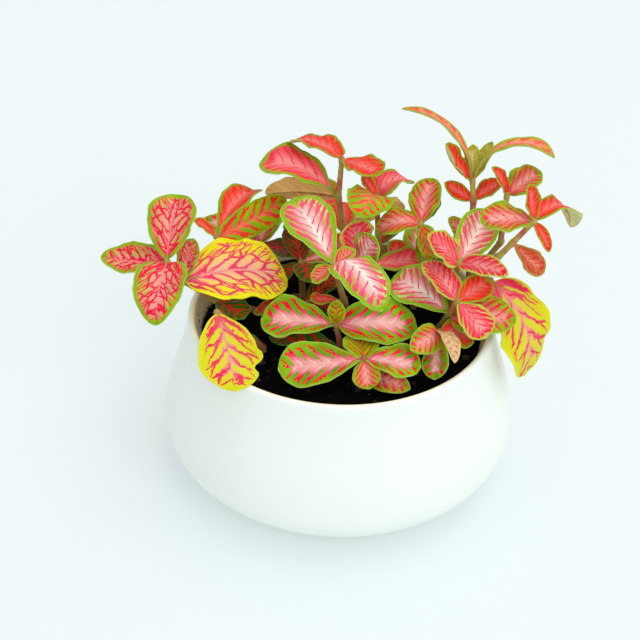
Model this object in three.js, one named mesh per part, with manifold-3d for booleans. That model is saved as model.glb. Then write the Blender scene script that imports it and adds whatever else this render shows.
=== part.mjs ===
// A nerve plant (Fittonia) in a low round white pot, in millimetres, +Z up, standing on z = 0 with
// the pot's axis on the Z axis. The pot is a turned bowl, the soil fills it, and each leafy stem
// stands in a plain hole in the soil.

import * as THREE from "three";
import { mergeVertices } from "three/addons/utils/BufferGeometryUtils.js";
import Module from "manifold-3d";

const wasm = await Module();
wasm.setup();

// The pot, from its foot to its rim
const FOOT_RADIUS = 48;
const BELLY_RADIUS = 80;
const BELLY_HEIGHT = 24;
const RIM_RADIUS = 68.5;
const POT_HEIGHT = 76;
const WALL = 3.4;
const FLOOR = 4;
const POT_SIDES = 48;
const OUTSIDE_STEPS = 6;
const INSIDE_STEPS = 4;
const LIP_ANGLES = [36, 72, 108, 144];

// How the pot's side curves, as shares of the stretch below the belly and of the stretch above it
const FOOT_FLATNESS = 0.6;
const BELLY_FALL = 0.4;
const BELLY_RISE = 0.34;
const NECK_FALL = 0.36;
const NECK_LEAN = 0.12;
const FOOT_SHARE = 0.4;

// The soil, with a clear gap all round it and round each stem
const SOIL_HEIGHT = 66;
const SOIL_SIDES = 28;
const SOIL_RINGS = [59, 40, 20];
const SOIL_BUMP = 0.7;
const SOIL_WAVE_X = 0.19;
const SOIL_WAVE_Y = 0.23;
const GAP = 0.35;
const HOLE_MARGIN = 0.42;
const HOLE_DEPTH = 12;
const HOLE_FLOOR = SOIL_HEIGHT - HOLE_DEPTH;
const STEM_END = HOLE_FLOOR + GAP;

// Stems are thickest at the soil and swell at each pair of leaves
const STEM_SIDES = 6;
const STEM_FOOT_RADIUS = 1.6;
const STEM_TOP_RADIUS = 1.15;
const NODE_SWELL = 1.25;
const BUD_LENGTH = 1.6;

// Leaf stalks and blades
const STALK_LENGTH = 2;
const STALK_SHARE = 0.08;
const STALK_HALF = 0.8;
const STALK_THICKNESS = 1.4;
const BLADE_THICKNESS = 0.8;
const TIP_HALF = 0.5;
const BLADE_FULLNESS = 0.6;
const WAVE_SHARE = 0.05;
const WAVE_COUNT = 2.2;
const LONG_LEAF = 24;
const LONG_STEPS = [0, 0.16, 0.37, 0.6, 0.83, 1];
const LONG_COLUMNS = 4;
const SHORT_STEPS = [0, 0.25, 0.52, 0.8, 1];
const SHORT_COLUMNS = 2;

const UP = new THREE.Vector3(0, 0, 1);
const MERGE = 1e-4;

const POT_COLOUR = 0xe9efe8;
const SOIL_COLOUR = 0x17110d;
const LEAF_COLOURS = {
  green: 0x8ab43c,
  pink: 0xe06a70,
  pale: 0xe9a3a0,
  red: 0xd9444a,
  young: 0xb98a4a,
  shade: 0x3f6a2c,
  yellow: 0xdcd13f,
  under: 0xa9783f,
  edge: 0xc89a5a,
  dry: 0xb0704a,
};

// Each leafy stem has a name, the points that it passes through from the soil up, and its leaves.
// A leaf has, in this order, the point that it grows at, its azimuth and rise, its length and width,
// the roll about its chord, the droop from base to tip and the fold of each half, the place along it
// where it is widest, and its look.
const LEAFY_STEMS = [
  ["front", [[1, -22, 68.5], [-2, -20, 83]], [
    [1, 171, -4, 29, 24, -15, 10, 15, 0.65, "green"],
    [1, 6, -5, 31, 24, 25, 30, 15, 0.5, "green"],
    [1, 82, 85, 10, 8, 0, 20, 15, 0.5, "young"],
    [0, 162, 0, 30, 16, 0, 20, 10, 0.5, "shade"],
  ]],
  ["front_low", [[9, -35, 68.5], [10, -37, 78]], [
    [1, 188, -5, 32, 22, -31, -5, 15, 0.65, "green"],
    [1, 100, 6, 13, 16, 5, 5, 10, 0.4, "young"],
    [1, 284, -34, 11, 13, 15, 15, 20, 0.55, "pink"],
    [1, 351, -4, 21, 18, 16, 20, 15, 0.6, "green"],
    [0, 328, 6, 22, 11, 40, 30, 15, 0.5, "pink"],
  ]],
  ["centre", [[4, -3, 68.5], [1, -4, 85], [-4, -8, 106]], [
    [2, 123, 23, 33, 24, -5, 20, 10, 0.65, "pale"],
    [2, 200, -38, 9, 9, -15, 15, 15, 0.45, "pink"],
    [2, 35, 19, 9, 10, 0, 10, 20, 0.4, "pink"],
    [2, 305, -10, 39, 21, 3, 110, -10, 0.5, "pale"],
    [1, 201, 12, 13, 9, 0, 5, 10, 0.7, "red"],
  ]],
  ["behind_centre", [[10, 12, 68.5], [7, 8, 96]], [
    [1, 126, 78, 18, 18, 0, -10, 10, 0.65, "pink"],
    [1, 340, 66, 15, 15, 65, 10, 10, 0.6, "pale"],
    [1, 14, 3, 25, 16, 5, -20, 10, 0.75, "pink"],
  ]],
  ["back_right", [[33, 20, 68.5], [33, 21, 84], [34, 20, 111]], [
    [1, 164, 44, 16, 13, -20, 15, 10, 0.5, "red"],
    [1, 20, 5, 15, 10, 0, 20, 10, 0.5, "shade"],
    [2, 71, 43, 18, 16, -12, 25, 15, 0.5, "pink"],
    [2, 180, -23, 19, 16, -11, 80, 10, 0.45, "pink"],
    [2, 60, 20, 13, 9, 0, 10, 20, 0.5, "shade"],
    [2, 289, -46, 14, 10, 0, 10, 30, 0.5, "green"],
  ]],
  ["back", [[17, 26, 68.5], [16, 28, 94], [14, 30, 118]], [
    [1, 65, 10, 17, 12, 0, 20, 10, 0.5, "shade"],
    [1, 205, -5, 9, 9, 0, 20, 10, 0.5, "red"],
    [2, 253, 4, 24, 21, -9, 70, 10, 0.5, "green"],
    [2, 30, -2, 18, 20, -10, 100, 10, 0.3, "pink"],
    [2, 140, 40, 9, 7, 0, 10, 10, 0.5, "red"],
    [2, 5, -36, 12, 11, -60, 10, 10, 0.5, "under"],
  ]],
  ["back_tall", [[2, 36, 68.5], [0, 37, 94], [-3, 38, 113], [-2, 42, 130]], [
    [1, 95, 5, 20, 13, 0, 20, 10, 0.5, "red"],
    [1, 262, 0, 14, 11, 0, 20, 10, 0.5, "red"],
    [2, 163, 13, 36, 25, -5, 60, 10, 0.7, "pink"],
    [3, 144, -9, 28, 19, 11, 55, 10, 0.4, "red"],
    [2, 163, -11, 32, 16, 67, 25, 10, 0.55, "under"],
    [3, 316, 3, 20, 18, 0, 15, 10, 0.6, "red"],
  ]],
  ["left_back", [[-36, 24, 68.5], [-57, 19.5, 101]], [
    [1, 64, 7, 32, 18, -5, 55, 20, 0.7, "red"],
    [1, 170, 35, 10, 8, 0, 10, 20, 0.5, "red"],
    [1, 45, 4, 37, 15, 58, 35, 5, 0.45, "green"],
  ]],
  ["left", [[-23, 4, 68.5], [-56, 0, 80], [-70, 0, 90], [-77, 0, 100]], [
    [3, 79, 42, 27, 23, -3, 45, 15, 0.6, "pink"],
    [3, 160, -9, 30, 18, -27, -30, 25, 0.4, "red"],
    [3, 266, -29, 29, 24, 7, 50, 10, 0.3, "pink"],
    [2, 68, 55, 16, 12, -10, 15, 10, 0.55, "red"],
    [2, 16, -10, 44, 36, 17, 60, 5, 0.5, "yellow"],
    [1, 315, 0, 16, 15, 0, 10, 10, 0.6, "shade"],
  ]],
  ["right", [[46, 0, 68.5], [50, -4, 106]], [
    [1, 63, 21, 27, 18, 25, 15, 10, 0.55, "pale"],
    [1, 171, 40, 16, 18, -10, 15, 10, 0.35, "pink"],
    [1, 333, 2, 20, 12, 17, 35, 15, 0.4, "pink"],
  ]],
  ["right_edge", [[54, -4, 68.5], [65, 1, 94.5]], [
    [1, 321, -67, 47, 33, 0, 90, 0, 0.4, "yellow"],
  ]],
  ["right_front", [[41, -5, 68.5], [47, -16, 88], [49, -20, 97]], [
    [2, 127, 18, 21, 16, 7, 30, 10, 0.45, "pink"],
    [2, 39, 11, 16, 13, 25, 5, 10, 0.55, "pink"],
    [2, 317, -31, 17, 16, 13, 35, 10, 0.6, "pink"],
    [1, 141, 8, 28, 21, -24, 45, 10, 0.65, "pale"],
    [1, 348, 2, 25, 21, 30, 25, 10, 0.35, "pink"],
  ]],
  ["tall", [[58, 20, 68.5], [57, 24, 98], [57, 28, 119], [56, 30, 128]], [
    [1, 65, 10, 18, 12, 0, 20, 10, 0.5, "green"],
    [1, 185, 52, 15, 10, -30, 10, 10, 0.5, "pink"],
    [3, 156, 32, 44, 8, 10, 85, 10, 0.65, "edge"],
    [3, 2, 12, 43, 10, 5, 130, 10, 0.8, "edge"],
    [3, 203, 58, 22, 13, -32, -40, 30, 0.5, "red"],
    [3, 95, 66, 13, 8, 0, -10, 20, 0.5, "young"],
    [3, 35, 60, 16, 8, 0, -10, 20, 0.5, "young"],
    [2, 180, 34, 13, 8, -50, -30, 20, 0.45, "red"],
    [2, 20, 28, 12, 10, 15, 20, 20, 0.5, "red"],
  ]],
  ["far_right", [[52, 4, 68.5], [67, 2, 106], [73, 2, 114], [81, 2, 125]], [
    [3, 136, 75, 14, 10, 0, -10, 20, 0.5, "red"],
    [3, 38, -34, 29, 15, -3, 125, 10, 0.5, "red"],
    [3, 317, -52, 12, 6, 15, 40, 20, 0.4, "red"],
    [3, 186, 0, 20, 19, -10, 25, 10, 0.55, "pale"],
    [2, 352, -42, 17, 12, 30, -15, 10, 0.65, "dry"],
  ]],
  ["far_back", [[54, 28, 68.5], [70, 21, 102], [71, 23, 125]], [
    [2, 178, 59, 13, 9, -20, 20, 20, 0.4, "red"],
    [2, 21, 30, 15, 18, 5, 15, 10, 0.5, "pink"],
  ]],
  ["right_low", [[40, -21, 68.5], [42, -24, 84]], [
    [1, 229, 2, 17, 13, -44, 35, 10, 0.4, "green"],
    [1, 265, -37, 18, 12, 15, 5, 10, 0.6, "green"],
    [1, 282, 0, 23, 8, -15, 65, 10, 0.4, "dry"],
    [1, 5, -15, 13, 17, 15, 25, 10, 0.5, "red"],
  ]],
  ["left_front", [[-34, -18, 68.5], [-53, -26, 92]], [
    [1, 287, -27, 34, 28, -7, 25, 5, 0.6, "yellow"],
    [0, 165, 8, 14, 10, 0, 10, 10, 0.5, "shade"],
  ]],
  ["inner_left", [[-18, 22, 68.5], [-19, 22, 87]], [
    [1, 15, 5, 20, 14, 0, 20, 10, 0.5, "green"],
    [1, 205, -35, 12, 10, 0, 20, 10, 0.5, "shade"],
    [1, 105, 20, 18, 13, 0, 20, 10, 0.5, "shade"],
    [1, 285, 5, 17, 12, 0, 20, 10, 0.5, "shade"],
  ]],
  ["inner_centre", [[-13, -1, 68.5], [-15, 0, 80]], [
    [1, 50, 15, 19, 12, 0, 20, 10, 0.5, "shade"],
    [1, 145, -20, 12, 10, 0, 20, 10, 0.5, "shade"],
    [1, 190, -10, 21, 12, 0, 20, 10, 0.5, "shade"],
    [1, 325, 5, 14, 10, 0, 20, 10, 0.5, "shade"],
  ]],
  ["back_low_left", [[-36, 36, 68.5], [-40, 40, 84]], [
    [1, 158, 10, 26, 18, 0, 30, 10, 0.5, "green"],
    [1, 75, 15, 24, 17, 0, 30, 10, 0.5, "green"],
    [1, 225, -5, 15, 12, 0, 20, 10, 0.5, "shade"],
    [1, 330, 5, 20, 14, 0, 20, 10, 0.5, "shade"],
  ]],
  ["back_low", [[-8, 48, 68.5], [-8, 51, 88]], [
    [1, 100, 20, 26, 18, 0, 30, 10, 0.5, "red"],
    [1, 10, 10, 22, 15, 0, 30, 10, 0.5, "green"],
    [1, 195, 5, 18, 13, 0, 20, 10, 0.5, "green"],
    [1, 262, 0, 14, 11, 0, 20, 10, 0.5, "shade"],
  ]],
  ["back_low_right", [[30, 36, 68.5], [32, 42, 76]], [
    [1, 75, 12, 22, 15, 0, 30, 10, 0.5, "green"],
    [1, 310, 0, 16, 12, 0, 30, 10, 0.5, "green"],
    [1, 170, 5, 18, 13, 0, 20, 10, 0.5, "shade"],
    [1, 260, 0, 14, 11, 0, 20, 10, 0.5, "shade"],
  ]],
  ["back_far_right", [[46, 32, 68.5], [50, 36, 80]], [
    [1, 50, 15, 24, 16, 0, 30, 10, 0.5, "green"],
    [1, 140, 10, 18, 13, 0, 30, 10, 0.5, "green"],
    [1, 230, 5, 15, 11, 0, 20, 10, 0.5, "shade"],
  ]],
];

/** The unit directions along a leaf's chord, across it and out of its upper face. */
function leafDirections(azimuth, rise, roll) {
  const [a, r, q] = [azimuth, rise, roll].map(THREE.MathUtils.degToRad);
  const along = new THREE.Vector3(Math.cos(r) * Math.cos(a), Math.cos(r) * Math.sin(a), Math.sin(r));
  const across = new THREE.Vector3(-Math.sin(a), Math.cos(a), 0);
  across.applyAxisAngle(along, q);
  return { along, across, up: new THREE.Vector3().crossVectors(along, across) };
}

/** Half of a blade's width at the share t of its length. */
function halfWidth(leaf, t) {
  const power = Math.log(0.5) / Math.log(leaf.widest);
  const swell = Math.max(0, Math.sin(Math.PI * t ** power)) ** BLADE_FULLNESS;
  return Math.max(leaf.width / 2 * swell, t < 0.5 ? STALK_HALF : TIP_HALF);
}

/** The midrib's point at the share t of the blade, with the direction across and the face's own up there. */
function midrib(leaf, t) {
  const { along, across, up } = leaf.directions;
  const droop = THREE.MathUtils.degToRad(leaf.droop);
  const lean = droop * (0.5 - t);
  const reach = leaf.length * (Math.sin(droop / 2) - Math.sin(lean)) / droop;
  const height = leaf.length * (Math.cos(lean) - Math.cos(droop / 2)) / droop;
  const point = leaf.blade.clone().addScaledVector(along, reach).addScaledVector(up, height);
  const face = up.clone().multiplyScalar(Math.cos(lean)).addScaledVector(along, -Math.sin(lean));
  return { point, across, face };
}

/** A closed ring of points, the upper face's from left to right and then the lower face's back again. */
function leafRing(centre, across, face, half, fold, wave, thickness, columns) {
  const upper = [];
  const lower = [];
  for (let k = 0; k <= columns; k += 1) {
    const u = 2 * k / columns - 1;
    const point = centre.clone().addScaledVector(across, u * half * Math.cos(fold));
    point.addScaledVector(face, Math.abs(u) * half * Math.sin(fold) + u * u * wave * Math.sign(u));
    upper.push(point.clone().addScaledVector(face, thickness / 2));
    lower.unshift(point.addScaledVector(face, -thickness / 2));
  }
  return [...upper, ...lower];
}

/** A closed solid through rings of equal count, with both faces split along the same diagonals. */
function skin(rings) {
  const count = rings[0].length;
  const last = (rings.length - 1) * count;
  const triangles = [];
  for (let i = 0; i < rings.length - 1; i += 1) {
    for (let j = 0; j < count; j += 1) {
      const [a, b] = [i * count + j, i * count + (j + 1) % count];
      const [c, d] = [a + count, b + count];
      if (j < count / 2) {
        triangles.push(a, d, b, a, c, d);
      } else {
        triangles.push(a, c, b, b, c, d);
      }
    }
  }
  for (let j = 0; j < count / 2 - 1; j += 1) {
    const [a, b, c, d] = [j, j + 1, count - 2 - j, count - 1 - j];
    triangles.push(a, b, c, a, c, d);
    triangles.push(last + a, last + c, last + b, last + a, last + d, last + c);
  }
  const points = Float32Array.from(rings.flat().flatMap((point) => point.toArray()));
  return new wasm.Manifold(new wasm.Mesh({
    numProp: 3,
    vertProperties: points,
    triVerts: Uint32Array.from(triangles),
  }));
}

/** A three.js geometry as a solid. */
function solidOf(geometry) {
  geometry.deleteAttribute("normal");
  geometry.deleteAttribute("uv");
  const merged = mergeVertices(geometry, MERGE);
  return new wasm.Manifold(new wasm.Mesh({
    numProp: 3,
    vertProperties: Float32Array.from(merged.attributes.position.array),
    triVerts: Uint32Array.from(merged.index.array),
  }));
}

/** A named mesh of a solid, in one colour. */
function meshOf(solid, name, colour, roughness) {
  const { vertProperties, triVerts } = solid.getMesh();
  const geometry = new THREE.BufferGeometry();
  geometry.setAttribute("position", new THREE.BufferAttribute(vertProperties, 3));
  geometry.setIndex(new THREE.BufferAttribute(triVerts, 1));
  geometry.computeVertexNormals();
  const material = new THREE.MeshStandardMaterial({ color: colour, roughness, metalness: 0 });
  const mesh = new THREE.Mesh(geometry, material);
  mesh.name = name;
  return mesh;
}

/** The pot wall's side from foot to rim, moved inwards by a distance, as points of radius and height. */
function wallCurve(inwards, foot, top, steps) {
  const belly = BELLY_RADIUS - inwards;
  const rim = RIM_RADIUS - inwards;
  const base = FOOT_RADIUS - inwards * FOOT_SHARE;
  const lower = new THREE.CubicBezierCurve(
    new THREE.Vector2(base, foot),
    new THREE.Vector2(base + (belly - base) * FOOT_FLATNESS, foot),
    new THREE.Vector2(belly, foot + (BELLY_HEIGHT - foot) * BELLY_FALL),
    new THREE.Vector2(belly, BELLY_HEIGHT),
  );
  const rise = top - BELLY_HEIGHT;
  const upper = new THREE.CubicBezierCurve(
    new THREE.Vector2(belly, BELLY_HEIGHT),
    new THREE.Vector2(belly, BELLY_HEIGHT + rise * BELLY_RISE),
    new THREE.Vector2(rim + (belly - rim) * NECK_LEAN, top - rise * NECK_FALL),
    new THREE.Vector2(rim, top),
  );
  return [...lower.getPoints(steps), ...upper.getPoints(steps).slice(1)];
}

/** The turned bowl: a flat base, a swelling side, a rounded lip and an open inside with a flat floor. */
function pot() {
  const lip = WALL / 2;
  const side = wallCurve(0, 0, POT_HEIGHT - lip, OUTSIDE_STEPS);
  const inside = wallCurve(WALL, FLOOR, POT_HEIGHT - lip, INSIDE_STEPS).reverse();
  const rim = LIP_ANGLES.map((degrees) => {
    const angle = THREE.MathUtils.degToRad(degrees);
    const radius = RIM_RADIUS - lip + lip * Math.cos(angle);
    return new THREE.Vector2(radius, POT_HEIGHT - lip + lip * Math.sin(angle));
  });
  const profile = [new THREE.Vector2(0, 0), ...side, ...rim, ...inside, new THREE.Vector2(0, FLOOR)];
  return solidOf(new THREE.LatheGeometry(profile, POT_SIDES).rotateX(Math.PI / 2));
}

/** A small fixed unevenness of the soil's surface at a point. */
function soilBump(x, y) {
  return SOIL_BUMP * Math.sin(x * SOIL_WAVE_X + 1) * Math.cos(y * SOIL_WAVE_Y);
}

/** The soil, a little clear of the pot's wall and lying on its floor, with an uneven top. */
function soilBody() {
  const wall = wallCurve(WALL + GAP, FLOOR, POT_HEIGHT - WALL / 2, INSIDE_STEPS);
  const top = wall.findIndex((point) => point.y > SOIL_HEIGHT);
  const [below, above] = [wall[top - 1], wall[top]];
  const share = (SOIL_HEIGHT - below.y) / (above.y - below.y);
  const side = [...wall.slice(0, top), below.clone().lerp(above, share)];
  const rings = SOIL_RINGS.map((radius) => new THREE.Vector2(radius, SOIL_HEIGHT));
  const profile = [new THREE.Vector2(0, FLOOR), ...side, ...rings, new THREE.Vector2(0, SOIL_HEIGHT)];
  const geometry = new THREE.LatheGeometry(profile, SOIL_SIDES).rotateX(Math.PI / 2);
  const { position } = geometry.attributes;
  for (let i = 0; i < position.count; i += 1) {
    const [x, y] = [position.getX(i), position.getY(i)];
    if (position.getZ(i) > SOIL_HEIGHT - 0.01 && Math.hypot(x, y) < SOIL_RINGS[0] + 0.01) {
      position.setZ(i, SOIL_HEIGHT + soilBump(x, y));
    }
  }
  return solidOf(geometry);
}

/** A ring of stem points round a centre, square to a direction. */
function stemRing(centre, direction, radius) {
  const side = new THREE.Vector3().crossVectors(new THREE.Vector3(0, 1, 0), direction).normalize();
  const front = new THREE.Vector3().crossVectors(direction, side).normalize();
  const ring = [];
  for (let k = 0; k < STEM_SIDES; k += 1) {
    const angle = 2 * Math.PI * k / STEM_SIDES;
    const point = centre.clone().addScaledVector(side, -radius * Math.cos(angle));
    ring.push(point.addScaledVector(front, radius * Math.sin(angle)));
  }
  return ring;
}

/** The stem's radius at the share s of its path. */
function stemRadius(s) {
  return THREE.MathUtils.lerp(STEM_FOOT_RADIUS, STEM_TOP_RADIUS, s);
}

/** A stem from inside its hole through its path to the bud at its end. */
function stemBody(path) {
  const [foot] = path;
  const rings = [stemRing(new THREE.Vector3(foot.x, foot.y, STEM_END), UP, STEM_FOOT_RADIUS)];
  path.forEach((point, i) => {
    const from = i === 0 ? UP : point.clone().sub(path[i - 1]).normalize();
    const onwards = i === path.length - 1 ? from : path[i + 1].clone().sub(point).normalize();
    const swell = i === 0 ? 1 : NODE_SWELL;
    rings.push(stemRing(point, from.clone().add(onwards), stemRadius(i / (path.length - 1)) * swell));
    if (i < path.length - 1) {
      const middle = point.clone().lerp(path[i + 1], 0.5);
      rings.push(stemRing(middle, onwards, stemRadius((i + 0.5) / (path.length - 1))));
    } else {
      rings.push(stemRing(point.clone().addScaledVector(from, BUD_LENGTH), from, STEM_TOP_RADIUS / 2));
    }
  });
  return skin(rings);
}

/** The plain hole that a stem stands in. */
function stemHole([x, y]) {
  const rings = [HOLE_FLOOR, SOIL_HEIGHT + HOLE_DEPTH].map((height) => (
    stemRing(new THREE.Vector3(x, y, height), UP, STEM_FOOT_RADIUS + HOLE_MARGIN)
  ));
  return skin(rings);
}

/** One leaf, from its stalk inside the stem to its tip. */
function leafBody(row, path) {
  const [at, azimuth, rise, length, width, roll, droop, fold, widest] = row;
  const directions = leafDirections(azimuth, rise, roll);
  const leaf = { length, width, droop, widest, directions };
  const start = THREE.MathUtils.degToRad(droop / 2);
  const stalk = directions.along.clone().multiplyScalar(Math.cos(start));
  stalk.addScaledVector(directions.up, Math.sin(start));
  leaf.blade = path[at].clone().addScaledVector(stalk, STALK_LENGTH + STALK_SHARE * length);
  const steps = length < LONG_LEAF ? SHORT_STEPS : LONG_STEPS;
  const columns = length < LONG_LEAF ? SHORT_COLUMNS : LONG_COLUMNS;
  const half = THREE.MathUtils.degToRad(fold);
  const first = midrib(leaf, 0);
  const rings = [leafRing(path[at], first.across, first.face, STALK_HALF, 0, 0, STALK_THICKNESS, columns)];
  for (const t of steps) {
    const { point, across, face } = midrib(leaf, t);
    const ripple = Math.sin(Math.PI * t) * Math.sin(2 * Math.PI * WAVE_COUNT * t + azimuth);
    const wave = WAVE_SHARE * width * ripple;
    const thickness = t === 0 ? STALK_THICKNESS : BLADE_THICKNESS;
    rings.push(leafRing(point, across, face, halfWidth(leaf, t), half, wave, thickness, columns));
  }
  return skin(rings);
}

const plant = new THREE.Group();
plant.add(meshOf(pot(), "pot", POT_COLOUR, 0.3));

let soil = soilBody();
for (const [name, points, leaves] of LEAFY_STEMS) {
  const path = points.map((point) => new THREE.Vector3(...point));
  let stem = stemBody(path);
  for (const row of leaves) {
    stem = stem.add(leafBody(row, path));
  }
  soil = soil.subtract(stemHole(points[0]));
  plant.add(meshOf(stem, `leafy_stem_${name}`, LEAF_COLOURS[leaves[0].at(-1)], 0.6));
}
plant.add(meshOf(soil, "soil", SOIL_COLOUR, 0.95));

export default plant;
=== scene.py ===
"""The looks of a potted nerve plant (Fittonia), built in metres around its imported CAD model.

The leaves follow the same curves as the CAD solids that they stand for, in finer meshes with veins,
puckers, waved margins, stalks and hairs. The pot is turned smooth, and the soil gets lumps and crumbs.
"""

import logging
import math
import random
from collections.abc import Sequence
from dataclasses import dataclass
from enum import Enum

import bpy
import numpy as np
from mathutils import Matrix, Vector, noise


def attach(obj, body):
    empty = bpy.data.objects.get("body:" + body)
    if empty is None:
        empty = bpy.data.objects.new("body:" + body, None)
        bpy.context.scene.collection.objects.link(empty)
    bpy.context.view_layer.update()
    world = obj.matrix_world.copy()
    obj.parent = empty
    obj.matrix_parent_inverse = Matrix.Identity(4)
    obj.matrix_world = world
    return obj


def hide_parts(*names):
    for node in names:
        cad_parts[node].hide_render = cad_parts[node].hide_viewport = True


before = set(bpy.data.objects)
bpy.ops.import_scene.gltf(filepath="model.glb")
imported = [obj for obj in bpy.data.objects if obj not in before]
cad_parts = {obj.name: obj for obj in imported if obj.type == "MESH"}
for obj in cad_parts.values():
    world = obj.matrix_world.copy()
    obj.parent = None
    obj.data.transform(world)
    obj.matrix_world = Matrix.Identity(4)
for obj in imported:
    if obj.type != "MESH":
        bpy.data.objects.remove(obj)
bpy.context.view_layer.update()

log = logging.getLogger("plant")

MM = 0.001
TINY = 1e-6
BODY = "root"

# The curve by which a colour's written shares become linear light
LIGHT_KNEE = 0.04045
LIGHT_SLOPE = 12.92
LIGHT_OFFSET = 0.055
LIGHT_POWER = 2.4

# The pot, from its foot to its rim, in millimetres as in the CAD model. The flatness, falls, rise and lean
# are the handles of the two curves of its side, and FOOT_SHARE is how much of the wall's thickness its
# inner face moves in at the foot
FOOT_RADIUS = 48.0
BELLY_RADIUS = 80.0
BELLY_HEIGHT = 24.0
RIM_RADIUS = 68.5
POT_HEIGHT = 76.0
WALL = 3.4
FLOOR = 4.0
FOOT_FLATNESS = 0.6
BELLY_FALL = 0.4
BELLY_RISE = 0.34
NECK_FALL = 0.36
NECK_LEAN = 0.12
FOOT_SHARE = 0.4

# The soil's surface, the gaps round and under the soil, and how much thicker the pot's wall is from the
# surface down than at the rim
SOIL_HEIGHT = 66.0
GAP = 0.35
GAP_BELOW = 0.1
INNER_LEAN = 4.0

# The soil's bevelled edge, how far below the surface the side ends, the width of the surface's rings,
# and how far down a point still belongs to the surface
EDGE_DROP = 1.2
EDGE_WIDTH = 0.5
SIDE_END = 1.5
RING_WIDTH = 1.25
SURFACE_DEPTH = 0.5

# The surface's unevenness: the scale and share of each noise, and the slice of the noise that is used
SOIL_NOISE = ((0.09, 1.0), (0.31, 0.6), (0.9, 0.35))
SOIL_SLICE = 3.0

# Crumbs: how uneven they are, how far they keep from the wall, how high they sit, how their sizes and
# widths vary, and how far they turn and tilt in radians
CRUMB_LUMPS = (0.75, 1.2)
CRUMB_MARGIN = 1.2
CRUMB_LIFT = 0.15
CRUMB_SHARES = (0.6, 1.0)
CRUMB_WIDTHS = (0.5, 0.9)
CRUMB_TURN = 6.28
CRUMB_TILT = 0.6

# Stems, whose feet are inside the soil and whose paths start just above it. A joint has rings before and
# after it, each a distance along the stem and a share of its radius
STEM_END = 54.35
STEM_START = 68.5
STEM_FOOT_RADIUS = 1.6
STEM_TOP_RADIUS = 1.15
JOINT_RINGS = ((-2.4, 1.02), (-0.8, 1.25), (0.7, 1.2))
JOINT_END = 2.2
BUD_LENGTH = 1.6
BUD_SHARE = 0.45

# Leaf stalks, which run on along the underside. Their rows are shares of the blade's length, each with
# a depth below the midrib and a radius. A leaf shorter than FULL_STALK has a slimmer stalk, down to the
# share SLIMMEST
STALK_LENGTH = 2.0
STALK_SHARE = 0.08
STALK_HALF = 0.8
STALK_ROWS = (0.04, 0.12, 0.25, 0.4, 0.6, 0.8, 0.93)
STALK_DEPTHS = (0.3, 0.55, 0.6, 0.52, 0.44, 0.35, 0.3)
STALK_RADII = (0.72, 0.55, 0.48, 0.4, 0.33, 0.24, 0.1)
FULL_STALK = 30.0
SLIMMEST = 0.75

# Hairs: their width, lengths and lean towards the stem's tip, the share of the stem's radius that they
# start at, and the rows of a leaf stalk that have them
HAIR_WIDTH = 0.055
HAIR_LENGTHS = (0.5, 1.15)
HAIR_LEANS = (-0.1, 0.6)
HAIR_START = 0.9
HAIRY_STALK_ROWS = 3

# Blades, which start a little off the stem as narrow wings beside the stalk and end blunt. The fullness is
# the power of their outline, which is the rounder the lower it is. A long leaf has a finer grid than a
# short one
BLADE_THICKNESS = 0.5
BLADE_FULLNESS = 0.55
BASE_FULLNESS = 0.42
WING_START = 1.0
TIP_HALF = 0.3
LONG_LEAF = 24.0
LONG_GRID = (26, 34)
SHORT_GRID = (18, 22)

# What bends a blade: its waves, the puckers between its veins with the groove over the midrib, and the
# ruffles and notches of its margin, with how long a torn place is and how far the tip's margin slants.
# Waves, ruffles and notches are counted along the blade. Shares are of its width, and a notch is a share
# of half the width
WAVE_SHARE = 0.05
WAVE_COUNT = 2.2
PUCKER_SHARE = 0.009
PUCKER_LEAST = 0.12
PUCKER_START = 0.25
GROOVE_WIDTH = 0.9
RUFFLE_SHARE = 0.012
SLOW_RUFFLE = 4.3
QUICK_RUFFLE = 7.1
QUICK_SHARE = 0.6
QUICK_SHIFT = 2.3
SIDE_SHIFT = 3
MARGIN_POWER = 4
BROAD_NOTCH = 0.01
BROAD_NOTCHES = 5.5
NOTCH_SHIFT = 2
SMALL_NOTCH = 0.004
SMALL_NOTCHES = 14
TEAR_SPREAD = 0.055
TIP_SLANT = 0.8

# Where the side veins run: their forward slope at the base, how much they open towards the tip, their
# bend, how far the two sides are out of step, and how far each leaf's pattern is shifted from the one
# before
VEIN_SLOPE = 1.45
VEIN_OPENING = 0.8
VEIN_BEND = 0.6
VEIN_STEP = 0.4
LEAF_STEP = 0.37

# The length from which on a leaf has all of its look's veins, the least share of them that a small leaf
# has, and the veins of an underside
FULL_VEINS = 32.0
FEWEST_VEINS = 0.5
PLAIN_VEINS = 7.0

# The scales of the noise in the leaf patterns, the larger the finer
MOTTLE_SCALE = 1.7
CLOUD_SCALE = 2.6
WOBBLE_SCALE = 6.0
TWIST_SCALE = 18.0
FINE_SCALE = 34.0

# How the veins vary: how much of their wander is a quick twist, where they fork, how far the second
# branch turns away, and the least width, spread of width and taper of the fingers, with how far they
# are cut back at the base
TWIST_SHARE = 0.55
FORK_START = 0.3
FORK_SPREAD = 0.4
SECOND_BRANCH = 0.8
FINGER_LEAST = 0.75
FINGER_SPREAD = 0.5
FINGER_TAPER = 0.35
START_CUT = 0.5

# The fine veins: their width at the end and what it gains towards the midrib, how soft their edge is
# and how fast they fade, with the cells of the net and the flecks, and the midrib's strength
LINE_LEAST = 0.3
LINE_SPREAD = 0.7
LINE_EDGE = 0.12
LINE_FADE = 0.3
NET_CELLS = (1.15, 1.15, 3.7)
NET_EDGE = 0.08
FLECK_CELLS = (2.0, 1.3, 1.0)
MIDDLE_SHARE = 0.7

# The margin: how ragged the band's edge is, over which shares of its width it ends, how far it hides
# the lines, and the rim's strength
BAND_RAGGED = 0.06
BAND_EDGE = (0.6, 1.3)
BAND_HIDES = 0.95
RIM_SHARE = 0.6

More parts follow.
